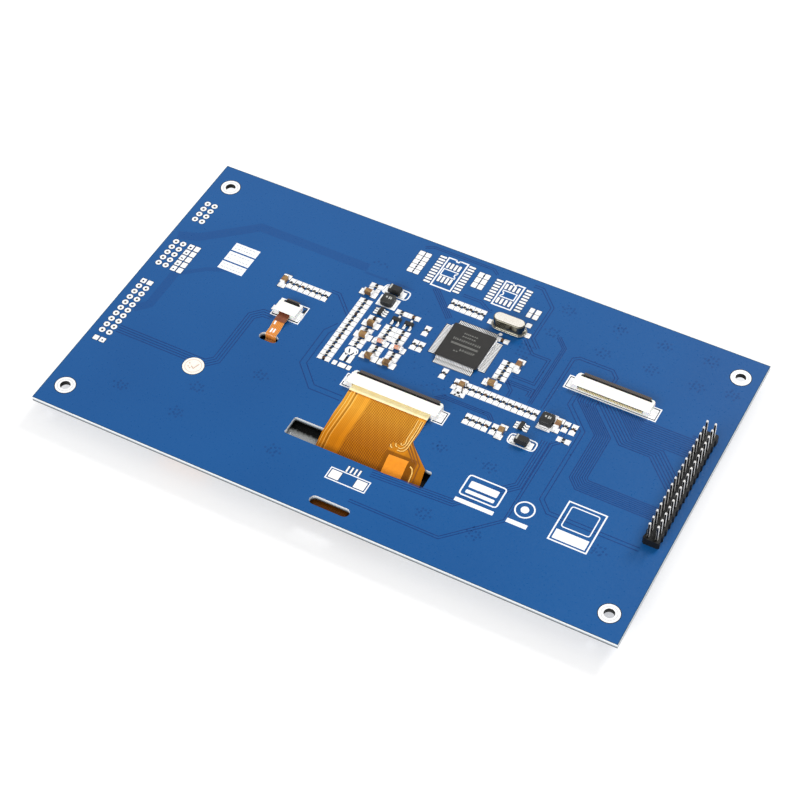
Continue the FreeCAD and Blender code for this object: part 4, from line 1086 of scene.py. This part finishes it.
SINGLE_VIAS += [(98.5 + 1.3 * k, 56.2 + 0.9 * (k % 3)) for k in range(8)]
SINGLE_VIAS += [(62.5 + 1.1 * k, 94.0 + 0.8 * (k % 2)) for k in range(5)]


def fan_paths():
    """The rows of traces from the spare connector to the header."""
    start_y, end_x = 74.4, 178.0
    paths = []
    for k in range(8):
        start, down, low = 141.2 + 0.8 * k, 151.0 + 0.65 * k, 42.0 + 0.65 * k
        reach = 3.2 - 0.35 * k
        paths.append([(start, start_y), (start, 72.2), (down, 72.2 - (down - start)),
                      (down, low + reach), (down + reach, low), (end_x, low)])
    for k in range(6):
        start, low, turn = 146.5 + 1.25 * k, 62.3 + 0.75 * k, 168.0 + 0.55 * k
        paths.append([(start, start_y), (start + start_y - low, low), (turn, low),
                      (end_x, low - end_x + turn)])
    for k in range(10):
        start, low = 153.6 + 0.85 * k, 66.9 + 0.78 * k
        paths.append([(start, start_y), (start + start_y - low, low), (end_x, low)])
    return paths


def masked_copper():
    """Traces, pours and vias beneath the lacquer, and the dark line along the board's edge."""
    lines = Piece("masked_traces", TRACE, "board_blue")
    pours = Piece("masked_pours", POUR, "board_blue")
    vias = Piece("masked_vias", VIA_COVER, "board_blue")
    for path, count, pitch in BUNDLES:
        for offset in evenly(count, pitch):
            lines.line([at(x, y) for x, y in path], 0.24, BOARD_TOP, TRACE_TOP, offset)
    for path in fan_paths():
        lines.line([at(x, y) for x, y in path], 0.26, BOARD_TOP, TRACE_TOP)
    for index, (path, width) in enumerate(POURS):
        top = BOARD_TOP + 0.005 + 0.002 * index
        pours.line([at(x, y) for x, y in path], width, BOARD_TOP, top)
    rim = Piece("board_edge_rim", EDGE_LINE, "board_blue")
    inset = 0.005
    rim.frame(*span(inset, BOARD_LENGTH - inset, inset, BOARD_WIDTH - inset), 0.2, BOARD_TOP,
              BOARD_TOP + FILM)
    rim.make()

    def via(place, radius=0.32):
        vias.hoop(place, radius, radius * 0.45, 16, BOARD_TOP, TRACE_TOP)

    for px, py in VIA_CLUSTERS:
        x, y = at(px * CLUSTER_SCALE[0], (CLUSTER_FOOT - py) * CLUSTER_SCALE[1])
        for k in range(12):
            t = 2 * math.pi * k / 12 + 0.4
            r = (1.2, 2.3)[k % 2] + rng.uniform(-0.3, 0.3)
            via((x + r * math.cos(t), y + 0.8 * r * math.sin(t) + rng.uniform(-0.25, 0.25)))
    for place in SINGLE_VIAS:
        via(at(*place))
    for _ in range(28):
        via(at(rng.uniform(60, 150), rng.uniform(36, 100)), 0.24)
    for piece in (lines, pours, vias):
        piece.make()


# Painted shade in the slots and round parts: the slots' strips in the frame, the others from the
# board's corner

SLOT_SHADE_STRIPS = [(-23.5, -12.4, -29.9, -25.6), (17.0, 25.5, -32.4, -25.6), (-47.6, -41.0, -4.0, 2.6)]
# Painted shade inside the connectors' printed frames: frames as their sides and line width, corner
# patches as their sides
SHADE_FRAMES = [(135.65, 164.05, 75.25, 79.65, 0.2), (45.2, 54.1, 60.8, 67.5, 0.24),
              (77.5, 80.2, 45.8, 50.2, 0.14), (107.4, 110.4, 45.8, 50.2, 0.14)]
SHADE_CORNERS = [(45.2, 47.0, 60.8, 61.9), (52.2, 54.1, 60.8, 62.2), (53.3, 54.1, 63.6, 66.6)]


def slot_shade_sheets():
    """Black sheets on the steel back where the cables pass: painted shade seen through the slots.
    """
    shade_piece = Piece("slot_shade_sheet", SLOT_SHADE, "foam")
    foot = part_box("rear_plate")[1][2] / MM
    for sides in SLOT_SHADE_STRIPS:
        shade_piece.rect(*sides, foot, foot + 0.03, 0.3)
    shade_piece.make()


def painted_shade_lines():
    """Painted shade: dark lines inside the printed frames of the connectors, a dark ring round the
    sticker and dark strips at the latches' ends.
    """
    dark_bands = Piece("frame_painted_shade", BARE_AND_SHADE_BLACK, "board_blue")
    for *sides, width in SHADE_FRAMES:
        dark_bands.frame(*span(*sides), width, BOARD_TOP, PAINTED_SHADE_TOP)
    for sides in SHADE_CORNERS:
        dark_bands.rect(*span(*sides), BOARD_TOP, PAINTED_SHADE_TOP + 0.002)
    dark_bands.hoop(STICKER, 3.42, 3.2, 48, BOARD_TOP, PAINTED_SHADE_TOP)
    dark_bands.make()
    # painted shade where each latch's end sits in its arm
    arms = Piece("latch_end_painted_shade", BARE_AND_SHADE_BLACK, "latch_grey")
    arm_top = BOARD_TOP + 1.5
    for (x, y), contacts in CONNECTORS.values():
        inner = housing_half(contacts) - 1.5
        for side in (-1, 1):
            x0, x1 = sorted((x + side * (inner + 0.02), x + side * (inner + 0.26)))
            arms.rect(x0, x1, y + 4.02, y + 5.3, arm_top, arm_top + 0.01)
    arms.make()


# Moulded parts and their leads

def body_rings(place, angle, size, heights, draft, bevel=0.08, corner=0.12):
    """Rings of a moulded body with a parting line and eased edges; heights are above the board."""
    foot, line, top = (BOARD_TOP + height for height in heights)
    rings = []
    for inset, z in ((draft * 0.7 + bevel, foot), (draft * 0.7, foot + bevel), (0, line - 0.03),
                     (0, line + 0.03), (draft, top - bevel), (draft + bevel, top)):
        outline = rounded_ring(size[0] - 2 * inset, size[1] - 2 * inset, corner)
        rings.append(level(moved(outline, place, angle), z))
    return rings


def gull(leads, place, angle, root, tip, shoulder, thickness, width, foot, start=0.0):
    """A gull-wing lead in the X direction of its part, bent on two curves."""
    bend, low, heel = thickness * 1.2, thickness / 2, tip - foot
    run = heel - root
    turn = heel - 0.3 * run
    middle = [(root - 0.1, shoulder + low), (heel - 0.62 * run, shoulder + low),
              (turn - bend * 0.3, shoulder + thickness * 0.3),
              (turn + bend * 0.1, shoulder - thickness * 0.1),
              (heel - bend * 0.1, low + thickness * 0.9),
              (heel + bend * 0.5, low + thickness * 0.15), (heel + bend * 1.1, low), (tip, low)]
    upper, lower = [], []
    for (x, z), a, b in zip(middle, middle[:1] + middle, middle[1:] + middle[-1:]):
        length = math.dist(a, b)
        nx, nz = (a[1] - b[1]) / length * low, (b[0] - a[0]) / length * low
        upper.append((x + nx, z + nz))
        lower.append((x - nx, max(0.0, z - nz)))
    profile = lower + upper[::-1]
    count = len(profile)
    points = []
    for side in (-1, 1):
        flat = moved([(x, start + side * width / 2) for x, _ in profile], place, angle)
        points += [(x, y, BOARD_TOP + z) for (x, y), (_, z) in zip(flat, profile)]
    faces = [list(range(count)), [count + i for i in reversed(range(count))]]
    for i in range(count):
        j = (i + 1) % count
        faces.append([i, i + count, j + count, j])
    leads.add(points, faces)


def diodes_and_transistors():
    bodies = Piece("power_diode_bodies", BLACK, "black_moulding")
    bands = Piece("power_diode_bands", MARK, "black_moulding")
    diode_heights = (0.2, 1.1, 2.3)
    band_top = BOARD_TOP + diode_heights[-1] + 0.005
    for place, angle in DIODES:
        bodies.rings(body_rings(place, angle, (4.1, 2.5), diode_heights, 0.22), True, True)
        outline = moved(rounded_ring(0.5, 1.9, 0.05, 1), (-1.35, 0))
        bands.slab(moved(outline, place, angle), band_top - 0.01, band_top)
    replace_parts(bodies.make(True, 25), "diode_bodies")
    bands.make()
    small = Piece("small_bodies", BLACK, "black_moulding")
    leads = Piece("small_leads", LEAD, "tinned")
    for place, angle, sides in TRANSISTORS:
        small.rings(body_rings(place, angle, (2.9, 1.3), (0.08, 0.53, 1.08), 0.1, 0.05, 0.06),
                    True, True)
        for turn, count in zip((-90, 90), sides):
            for offset in lead_offsets(count):
                gull(leads, place, angle + turn, 0.65, 1.25, 0.45, 0.14, 0.4, 0.3, offset)
    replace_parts(small.make(True, 25), "transistor_bodies")
    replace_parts(leads.make(True), "transistor_leads")


CHIP_HALF, CHIP_CORNER = 7.0, 0.25
CHIP_FOOT, CHIP_MIDDLE, CHIP_TOP = BOARD_TOP + 0.1, BOARD_TOP + 0.825, BOARD_TOP + 1.55
CHIP_BARS = [(-4.4, 4.4, -0.75, -0.55), (-4.4, 4.4, -1.15, -0.95)]
# Rows of plain marks on the chip: Y, start and end in X, height
CHIP_ROWS = [(3.9, -2.2, 2.5, 0.6), (2.6, -2.2, 2.4, 0.6), (0.95, -4.4, 4.4, 0.9),
             (-2.6, -0.6, 4.3, 1.0), (-3.6, -2.2, -0.9, 0.5)]


def controller():
    """The chip with its cut corners, its leads and plain marks in place of its print."""
    chip = Piece("controller_body", EPOXY, "black_moulding")
    rings = []
    for inset, z in ((0.42, CHIP_FOOT), (0.3, CHIP_FOOT + 0.06), (0.02, CHIP_MIDDLE - 0.05),
                     (0.02, CHIP_MIDDLE + 0.05), (0.26, CHIP_TOP - 0.06), (0.34, CHIP_TOP)):
        a, b = CHIP_HALF - inset, CHIP_HALF - inset - CHIP_CORNER
        outline = [(a, -b), (a, b), (b, a), (-b, a), (-a, b), (-a, -b), (-b, -a), (b, -a)]
        rings.append(level(moved(outline, CONTROLLER), z))
    chip.rings(rings, True, True)
    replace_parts(chip.make(), "controller_chip")
    legs = Piece("controller_legs", LEAD, "tinned")
    for angle in (0, 90, 180, 270):
        for offset in evenly(25, CONTACT_PITCH):
            gull(legs, CONTROLLER, angle, CHIP_HALF, 8.0, 0.755, 0.14, 0.22, 0.5, offset)
    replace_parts(legs.make(True), "controller_leads")
    marks = Piece("controller_marks", CHIP_MARK, "black_moulding")

    def bar(x0, x1, y0, y1):
        marks.slab(moved(corners(x0, x1, y0, y1), CONTROLLER), CHIP_TOP - 0.002, CHIP_TOP + FILM)

    for sides in CHIP_BARS:
        bar(*sides)
    for y, x, end, tall in CHIP_ROWS:
        while x < end - 0.3:
            wide = rng.choice((0.3, 0.45, 0.6))
            cut = y - tall / 2 + rng.uniform(0.35, 0.65) * tall
            bar(x, x + 0.17, y - tall / 2, y + tall / 2)
            bar(x + 0.17, min(x + wide, end), cut - 0.1, cut + 0.1)
            x += wide + 0.28
    marks.make()


# The crystal's length and width where its can starts, and the height of its base
CRYSTAL_SIZE, CRYSTAL_FOOT = (10.6, 4.2), BOARD_TOP + 0.35


def crystal():
    """Drawn can with a flange and rounded edges; its sides are painted dark as shade and its top
    pale as painted light.
    """
    def skin(name, material, slot, sections, top, bottom=False):
        """A piece from sections that give how much wider than the can it is, and the height."""
        piece = Piece(name, material, slot)
        rings = []
        for wider, z in sections:
            length, width = (size + wider for size in CRYSTAL_SIZE)
            outline = rounded_ring(length, width, width / 2 - 0.001, 12)
            rings.append(level(moved(outline, CRYSTAL), z))
        piece.rings(rings, top, bottom)
        return piece.make(True)

    foot, top = CRYSTAL_FOOT, BOARD_TOP + 4.0
    can = skin("crystal_cover", CAN_SHADED, "can_steel",
               [(0, foot + 0.37), (-0.3, foot + 0.5), (-0.4, foot + 0.8), (-0.4, top - 0.55),
                (-0.5, top - 0.25), (-0.75, top - 0.07), (-1.1, top)], False)
    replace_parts(can, "crystal_can")
    skin("crystal_rim", RIM, "can_steel",
         [(0.7, foot), (0.8, foot + 0.06), (0.8, foot + 0.3), (0.7, foot + 0.36),
          (0, foot + 0.37)], False, True)
    skin("crystal_top", CAN_TOP_LIT, "can_steel", [(-1.1, top), (-1.6, top - 0.01)], True)
    seal = skin("crystal_seal", BLACK, "black_moulding", [(0, BOARD_TOP + 0.1), (0, foot)], False,
                True)
    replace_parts(seal, "crystal_base")


# Sections of a contact spring's tip: how far into the mouth, and the height of its top
TOOTH_FOOT = 0.53
TOOTH = [(0.06, 0.62), (0.2, 0.92), (0.45, 1.08), (0.68, 0.9)]


def mouth_teeth():
    """Tips of the lower contact springs in a paler copy of their gold as painted light, seen in the
    open mouth of the spare connector, and a line of painted shade along the top of the mouth.
    """
    teeth = Piece("spare_contact_tips", TIP_PAINTED_LIGHT, "gold")
    (x0, y0), contacts = CONNECTORS["spare"]
    for x in evenly(contacts, CONTACT_PITCH):
        teeth.rings([[(px, y0 + y, BOARD_TOP + pz) for px, pz in
                      corners(x0 + x - 0.13, x0 + x + 0.13, TOOTH_FOOT, height)]
                     for y, height in TOOTH], True, True)
    teeth.make()
    # painted shade along the top of the mouth, under its roof
    shade = Piece("spare_mouth_painted_shade", BARE_AND_SHADE_BLACK, "white_moulding")
    half = (contacts + 1) * CONTACT_PITCH / 2 + 0.12
    shade.rect(x0 - half, x0 + half, y0 - 0.012, y0 + 0.02, BOARD_TOP + 1.62, BOARD_TOP + 1.78)
    shade.make()


def inductors():
    bodies = Piece("inductor_cores", FERRITE, "ferrite")
    marks = Piece("inductor_marks", MARK, "ferrite")
    foot, top = BOARD_TOP + 0.15, BOARD_TOP + 1.95
    for place, angle in INDUCTORS:
        bodies.rings([level(moved(rounded_ring(side, side, 0.75, 4), place, angle), z)
                      for side, z in ((3.84, foot), (4.0, foot + 0.08), (4.0, top - 0.15),
                                      (3.7, top))], True, True)
        for x, y, wide, tall in ((-0.6, 0.35, 0.5, 0.7), (0.3, 0.3, 0.4, 1.1),
                                 (0.85, 0.3, 0.35, 0.9)):
            outline = moved(rounded_ring(wide, tall, 0.08, 1), (x, y))
            marks.slab(moved(outline, place), top, top + FILM)
    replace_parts(bodies.make(True), "inductor_bodies")
    marks.make()


# A glass diode's cap: its distance from the middle and its radius, from the outer end inwards
CAP = [(1.75, 0.62), (1.68, 0.74), (1.0, 0.75), (0.94, 0.66)]
GLASS_AXIS = BOARD_TOP + 0.75


def glass_diodes():
    """Round glass bodies with a band, between plated caps."""
    glass = Piece("glass_diode_bodies", DIODE_GLASS, "orange_glass")
    caps = Piece("glass_diode_ends", TIN, "tinned")
    bands = Piece("glass_diode_bands", MARK, "tinned")

    def rod(piece, place, sections, closed=True):
        piece.rings([[(place[0] + x, place[1] + y, GLASS_AXIS + z) for y, z in circle(radius, 28)]
                     for x, radius in sections], closed, closed)

    for place in GLASS_DIODES:
        rod(glass, place, [(-1.0, 0.62), (-0.9, 0.66), (0.9, 0.66), (1.0, 0.62)])
        rod(caps, place, [(-x, radius) for x, radius in CAP])
        rod(caps, place, CAP[::-1])
        rod(bands, place, [(0.45, 0.664), (0.7, 0.664)], False)
    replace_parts(glass.make(True), "glass_diodes")
    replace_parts(caps.make(True), "glass_diode_caps")
    bands.make(True)


def header_pins():
    """Square pins with eased edges and tapered tips."""
    pins = Piece("header_pin_row", PIN, "tinned")
    foot, top = BOARD_FOOT - 1.5, BOARD_TOP + 8.5
    for place in HEADER_PINS:
        pins.rings([level(moved(rounded_ring(side, side, 0.06, 1), place), z)
                    for side, z in ((0.34, foot), (0.64, foot + 0.25), (0.64, top - 0.45),
                                    (0.30, top))], True, True)
    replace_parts(pins.make(), "header_pins")


# Cables

FLEX_THICKNESS = 0.12
BEND_STEPS, LONGEST_FLAT, FILM_STEP = 7, 1.2, 0.4
RAY_START = 0.1
DISPLAY_PATH = [(-47.0, 2.44), (-51.1, 2.44), (-51.1, 5.3), (-33.1, 5.3), (-27.2, 7.8),
                (-15.0, 7.8), (-11.3, 8.51), (-6.0, 8.51)]
DISPLAY_RADII = [1.3, 1.3, 5.0, 4.0, 3.0, 3.0]
DISPLAY_SIDES = [(-60.0, -11.5, 22.0), (-33.1, -11.6, 22.0), (-26.4, -11.75, 21.0),
                 (-19.3, -12.2, 13.25), (-14.0, -12.1, 13.35), (0.0, -12.05, 13.45)]


def bent_line(bends, radii):
    """Points along a line in Y and Z whose bends are rounded, close enough to shade."""
    line = [Vector(bends[0])]
    for before, corner, after, radius in zip(bends, bends[1:], bends[2:], radii):
        a, b, c = Vector(before), Vector(corner), Vector(after)
        d_in, d_out = (b - a).normalized(), (c - b).normalized()
        turn = d_in.angle(d_out)
        cut = radius * math.tan(turn / 2)
        start, end = b - d_in * cut, b + d_out * cut
        sign = 1 if d_in.x * d_out.y - d_in.y * d_out.x > 0 else -1
        centre = start + Vector((-d_in.y, d_in.x)) * sign * radius
        for k in range(BEND_STEPS + 1):
            t = sign * turn * k / BEND_STEPS
            p = start - centre
            line.append(centre + Vector((p.x * math.cos(t) - p.y * math.sin(t),
                                         p.x * math.sin(t) + p.y * math.cos(t))))
    line.append(Vector(bends[-1]))
    dense = []
    for a, b in zip(line, line[1:]):
        count = max(1, int((b - a).length / LONGEST_FLAT))
        dense += [a + (b - a) * (k / count) for k in range(count)]
    return dense + [line[-1]]


def sides_at(sides, y):
    """Left and right edge of a cable at a place along the board."""
    for (y0, l0, r0), (y1, l1, r1) in zip(sides, sides[1:]):
        if y <= y1:
            f = (y - y0) / (y1 - y0)
            return l0 + (l1 - l0) * f, r0 + (r1 - r0) * f
    return sides[-1][1], sides[-1][2]


def cable_sheet(name, material, bends, radii, sides):
    """A bent flat cable with both faces and its edges."""
    piece = Piece(name, material, "flex_orange")
    line = bent_line(bends, radii)
    rings = []
    for i, p in enumerate(line):
        d = (line[min(i + 1, len(line) - 1)] - line[max(i - 1, 0)]).normalized()
        n = Vector((-d.y, d.x)) * FLEX_THICKNESS / 2
        left, right = sides_at(sides, p.x)
        a, b = p + n, p - n
        rings.append([(left, a.x, a.y), (right, a.x, a.y), (right, b.x, b.y), (left, b.x, b.y)])
    piece.rings(rings, True, True)
    return piece.make(True)


def top_of(surface):
    """A function that gives the height of a piece's upper surface over a place in plan."""
    tree = BVHTree.FromObject(surface, bpy.context.evaluated_depsgraph_get())

    def height(x, y):
        hit = tree.ray_cast(Vector((x * MM, y * MM, RAY_START)), Vector((0, 0, -1)))[0]
        return hit.z / MM if hit else None
    return height


def on_film(piece, height, path, width, lift):
    """A flat line that follows a cable's surface."""
    dense = []
    for a, b in zip(path, path[1:]):
        count = max(1, int(math.dist(a, b) / FILM_STEP))
        for k in range(count):
            f = k / count
            dense.append((a[0] + (b[0] - a[0]) * f, a[1] + (b[1] - a[1]) * f))
    dense.append(path[-1])
    sides = []
    for i, p in enumerate(dense):
        a, b = Vector(dense[max(i - 1, 0)]), Vector(dense[min(i + 1, len(dense) - 1)])
        d = (b - a).normalized()
        n = Vector((-d.y, d.x)) * width / 2
        sides.append([(p[0] - n.x, p[1] - n.y), (p[0] + n.x, p[1] + n.y)])
    points, faces = [], []
    for right, left in sides:
        heights = [height(*right), height(*left)]
        known = [z for z in heights if z is not None]
        if not known:
            return
        for (x, y), z in zip((right, left), heights):
            points.append((x, y, (known[0] if z is None else z) + lift))
    for i in range(len(sides) - 1):
        faces.append([2 * i, 2 * i + 2, 2 * i + 3, 2 * i + 1])
    piece.add(points, faces)


# Copper seen on the display's cable, as paths on the board
HOOKS = [
    [(104.2, 43.4), (104.25, 36.4), (104.55, 35.0), (104.6, 34.2), (104.2, 33.5), (103.7, 33.6),
     (103.5, 34.2)],
    [(105.2, 43.4), (105.25, 34.3), (104.95, 32.9), (104.2, 32.2), (103.5, 32.3)],
    [(105.85, 43.4), (105.9, 33.0), (105.4, 31.8), (104.6, 31.35), (103.6, 31.35)],
    [(101.0, 32.5), (101.35, 31.7), (102.0, 31.4)],
    [(102.2, 33.5), (102.5, 32.6), (103.1, 32.3)],
    [(109.7, 27.8), (110.6, 27.3), (111.1, 26.2), (111.3, 22.3)],
]
SLANTED_GAPS = [[(106.0, 35.9), (112.0, 29.2), (112.5, 22.6)],
                [(106.0, 34.6), (110.9, 29.2), (111.3, 22.6)],
                [(106.0, 33.4), (109.4, 29.8), (109.6, 29.4)]]
SLANTED_TRACK = [(106.3, 36.6), (113.0, 29.0), (113.6, 22.6)]
# painted shadow along the mouth of the display's connector
MOUTH_SHADOW_LINE = [(80.95, 47.72), (106.4, 47.72)]
STRIP_TICKS = [[(81.0, 44.0), (81.9, 44.0)], [(83.3, 44.0), (84.0, 44.0)]]
PATCH_PATH, PATCH_WIDTH = [(105.45, 29.1), (105.7, 22.0)], 6.25
DARK_LIFT, BRIGHT_LIFT, PATCH_LIFT = 0.03, 0.05, 0.06
TOUCH_MARKS = [(48.4, 56.9, 58.2), (48.7, 53.9, 55.6), (49.6, 54.1, 55.7)]


def cable_prints():
    """Copper, gaps and a patch on the display's cable, a painted shadow line at the connector's
    mouth, and white marks on the touch cable.
    """
    height = top_of(bpy.data.objects["display_cable"])
    bright = Piece("display_film_copper", FLEX_LINE, "flex_orange")
    dark = Piece("display_film_gaps_and_shade", FLEX_DARK_AND_SHADE, "flex_orange")
    patch = Piece("display_film_patch", FLEX_PATCH, "flex_orange")
    for piece, paths, width, lift in (
            (dark, HOOKS, 0.66, DARK_LIFT), (bright, HOOKS, 0.34, BRIGHT_LIFT),
            (dark, SLANTED_GAPS, 0.42, DARK_LIFT), (bright, [SLANTED_TRACK], 0.3, BRIGHT_LIFT),
            (dark, [MOUTH_SHADOW_LINE], 0.12, BRIGHT_LIFT), (dark, STRIP_TICKS, 0.3, BRIGHT_LIFT),
            (patch, [PATCH_PATH], PATCH_WIDTH, PATCH_LIFT)):
        for path in paths:
            on_film(piece, height, [at(x, y) for x, y in path], width, lift)
    bright.make()
    dark.make()
    patch.make(True)

    height = top_of(nodes["touch_flex"])
    pale = Piece("touch_film_marks", SILK, "flex_orange")
    for x, y0, y1 in TOUCH_MARKS:
        on_film(pale, height, [at(x, y0), at(x, y1)], 0.5, 0.02)
    pale.make()


def sticker_marks():
    """Plain marks on the round sticker: a ring, a tick and three dots."""
    marks = Piece("sticker_ring", PAPER_MARK, "paper_white")
    foot = BOARD_TOP + 0.08
    top = foot + 0.01
    marks.hoop(STICKER, 2.55, 2.4, 48, foot, top)
    tick = moved([(-1.1, 0.1), (-0.3, -0.8), (1.2, 1.0)], (STICKER[0] + 0.5, STICKER[1]), 20)
    marks.line(tick, 0.35, foot, top)
    for x, y in ((-1.5, 0.5), (-1.3, -0.7), (-0.6, -1.1)):
        marks.slab(moved(corners(x - 0.25, x + 0.25, y - 0.2, y + 0.2), STICKER), foot, top)
    marks.make()


# Carried-over nodes

NODE_MATERIALS = {
    "cover_glass": FRONT, "optical_adhesive": ADHESIVE, "sensor_glass": PANEL_GLASS,
    "gasket": FOAM, "lcd_bezel": STEEL, "front_polarizer": POLARIZER,
    "colour_filter_glass": PANEL_GLASS, "tft_glass": PANEL_GLASS, "driver_chips": BLACK,
    "rear_polarizer": POLARIZER, "mould_frame": FRAME_WHITE, "prism_sheets": SHEET,
    "diffuser": SHEET, "light_guide": SHEET, "reflector": REFLECTOR, "led_strip": STRIP,
    "backlight_leds": LAMPS, "rear_plate": STEEL, "foam_tapes": FOAM,
    "display_stiffener": PALE_STRIP, "touch_flex": TOUCH_FILM,
    "touch_stiffener": BROWN_STRIP, "touch_controller": BLACK, "circuit_board": MASK,
    "header_base": HEADER, "crystal_tabs": TIN, "diode_leads": LEAD,
    "inductor_terminals": TIN, "round_sticker": PAPER,
}
# how far the painted shade reaches back from each latch's front edge
LATCH_FRONT_SHADE = {"display": 0.9, "spare": 0.9, "touch": 1.3}
for name in CONNECTORS:
    NODE_MATERIALS[f"{name}_connector_housing"] = HOUSING
    NODE_MATERIALS[f"{name}_connector_contacts"] = GOLD
    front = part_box(f"{name}_connector_latch")[0][1] / MM
    finish = latch_finish(f"{name}_latch_plastic", front, LATCH_FRONT_SHADE[name])
    NODE_MATERIALS[f"{name}_connector_latch"] = finish
    NODE_MATERIALS[f"{name}_connector_tabs"] = TIN


def finish_nodes():
    for name, material in NODE_MATERIALS.items():
        node = nodes[name]
        for slot in node.material_slots:
            slot.material = material
        if not node.material_slots:
            node.data.materials.append(material)


# Stage

FLOOR_HALF, FLOOR_DROP = 4.0, 0.00005
AMBIENT = 0.6
# What the parts mirror: brightness by height, from the horizon to straight above
MIRRORED = [(0.0, 0.85), (0.5, 0.85), (0.66, 0.64), (0.72, 0.56), (0.76, 0.40), (0.8, 0.13),
            (0.85, 0.05), (1.0, 0.3)]


def make_floor():
    mesh = bpy.data.meshes.new("floor")
    square = level(corners(-FLOOR_HALF, FLOOR_HALF, -FLOOR_HALF, FLOOR_HALF), 0)
    mesh.from_pydata(square, [], [(0, 1, 2, 3)])
    mesh.materials.append(floor_finish("floor_finish"))
    floor = bpy.data.objects.new("floor", mesh)
    floor.location.z = -FLOOR_DROP
    bpy.context.collection.objects.link(floor)


def make_world():
    """Even light from all round, with a graded sky where the parts mirror it."""
    world = bpy.data.worlds.new("world")
    world.use_nodes = True
    tree = world.node_tree
    ambient = tree.nodes["Background"]
    ambient.inputs[0].default_value = (1.0, 1.0, 1.0, 1.0)
    ambient.inputs[1].default_value = AMBIENT
    coords, split, ramp, mirrored, choice, rays = (
        tree.nodes.new("ShaderNode" + kind) for kind in
        ("TexCoord", "SeparateXYZ", "ValToRGB", "Background", "MixShader", "LightPath"))
    fill_ramp(ramp, [(place, grey(brightness)) for place, brightness in MIRRORED])
    for output, socket in (
            (coords.outputs["Generated"], split.inputs[0]), (split.outputs[2], ramp.inputs[0]),
            (ramp.outputs[0], mirrored.inputs[0]),
            (rays.outputs["Is Glossy Ray"], choice.inputs[0]),
            (ambient.outputs[0], choice.inputs[1]), (mirrored.outputs[0], choice.inputs[2]),
            (choice.outputs[0], tree.nodes["World Output"].inputs[0])):
        tree.links.new(output, socket)
    bpy.context.scene.world = world


def make_light(name, place, size, power):
    """An area light that looks at the middle of the frame; its place is in metres."""
    data = bpy.data.lights.new(name, "AREA")
    data.shape = "RECTANGLE"
    data.size, data.size_y = size
    data.energy = power
    light = bpy.data.objects.new(name, data)
    light.location = place
    light.rotation_euler = (-Vector(place)).to_track_quat("-Z", "Y").to_euler()
    bpy.context.collection.objects.link(light)


make_camera()
finish_nodes()
chip_parts()
bare_footprints()
part_pads()
plated_holes()
silkscreen()
slot_shade_sheets()
painted_shade_lines()
masked_copper()
diodes_and_transistors()
controller()
crystal()
inductors()
mouth_teeth()
glass_diodes()
header_pins()
display_cable = cable_sheet("display_cable", DISPLAY_FILM, DISPLAY_PATH, DISPLAY_RADII,
                            DISPLAY_SIDES)
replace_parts(display_cable, "display_flex")
cable_prints()
sticker_marks()
make_floor()
make_world()
make_light("key", (0.66, 1.9, 1.8), (0.8, 0.8), 42.0)
make_light("front_fill", (-0.4, -2.0, 1.0), (1.6, 0.9), 30.0)
bpy.context.scene.view_settings.view_transform = "Standard"
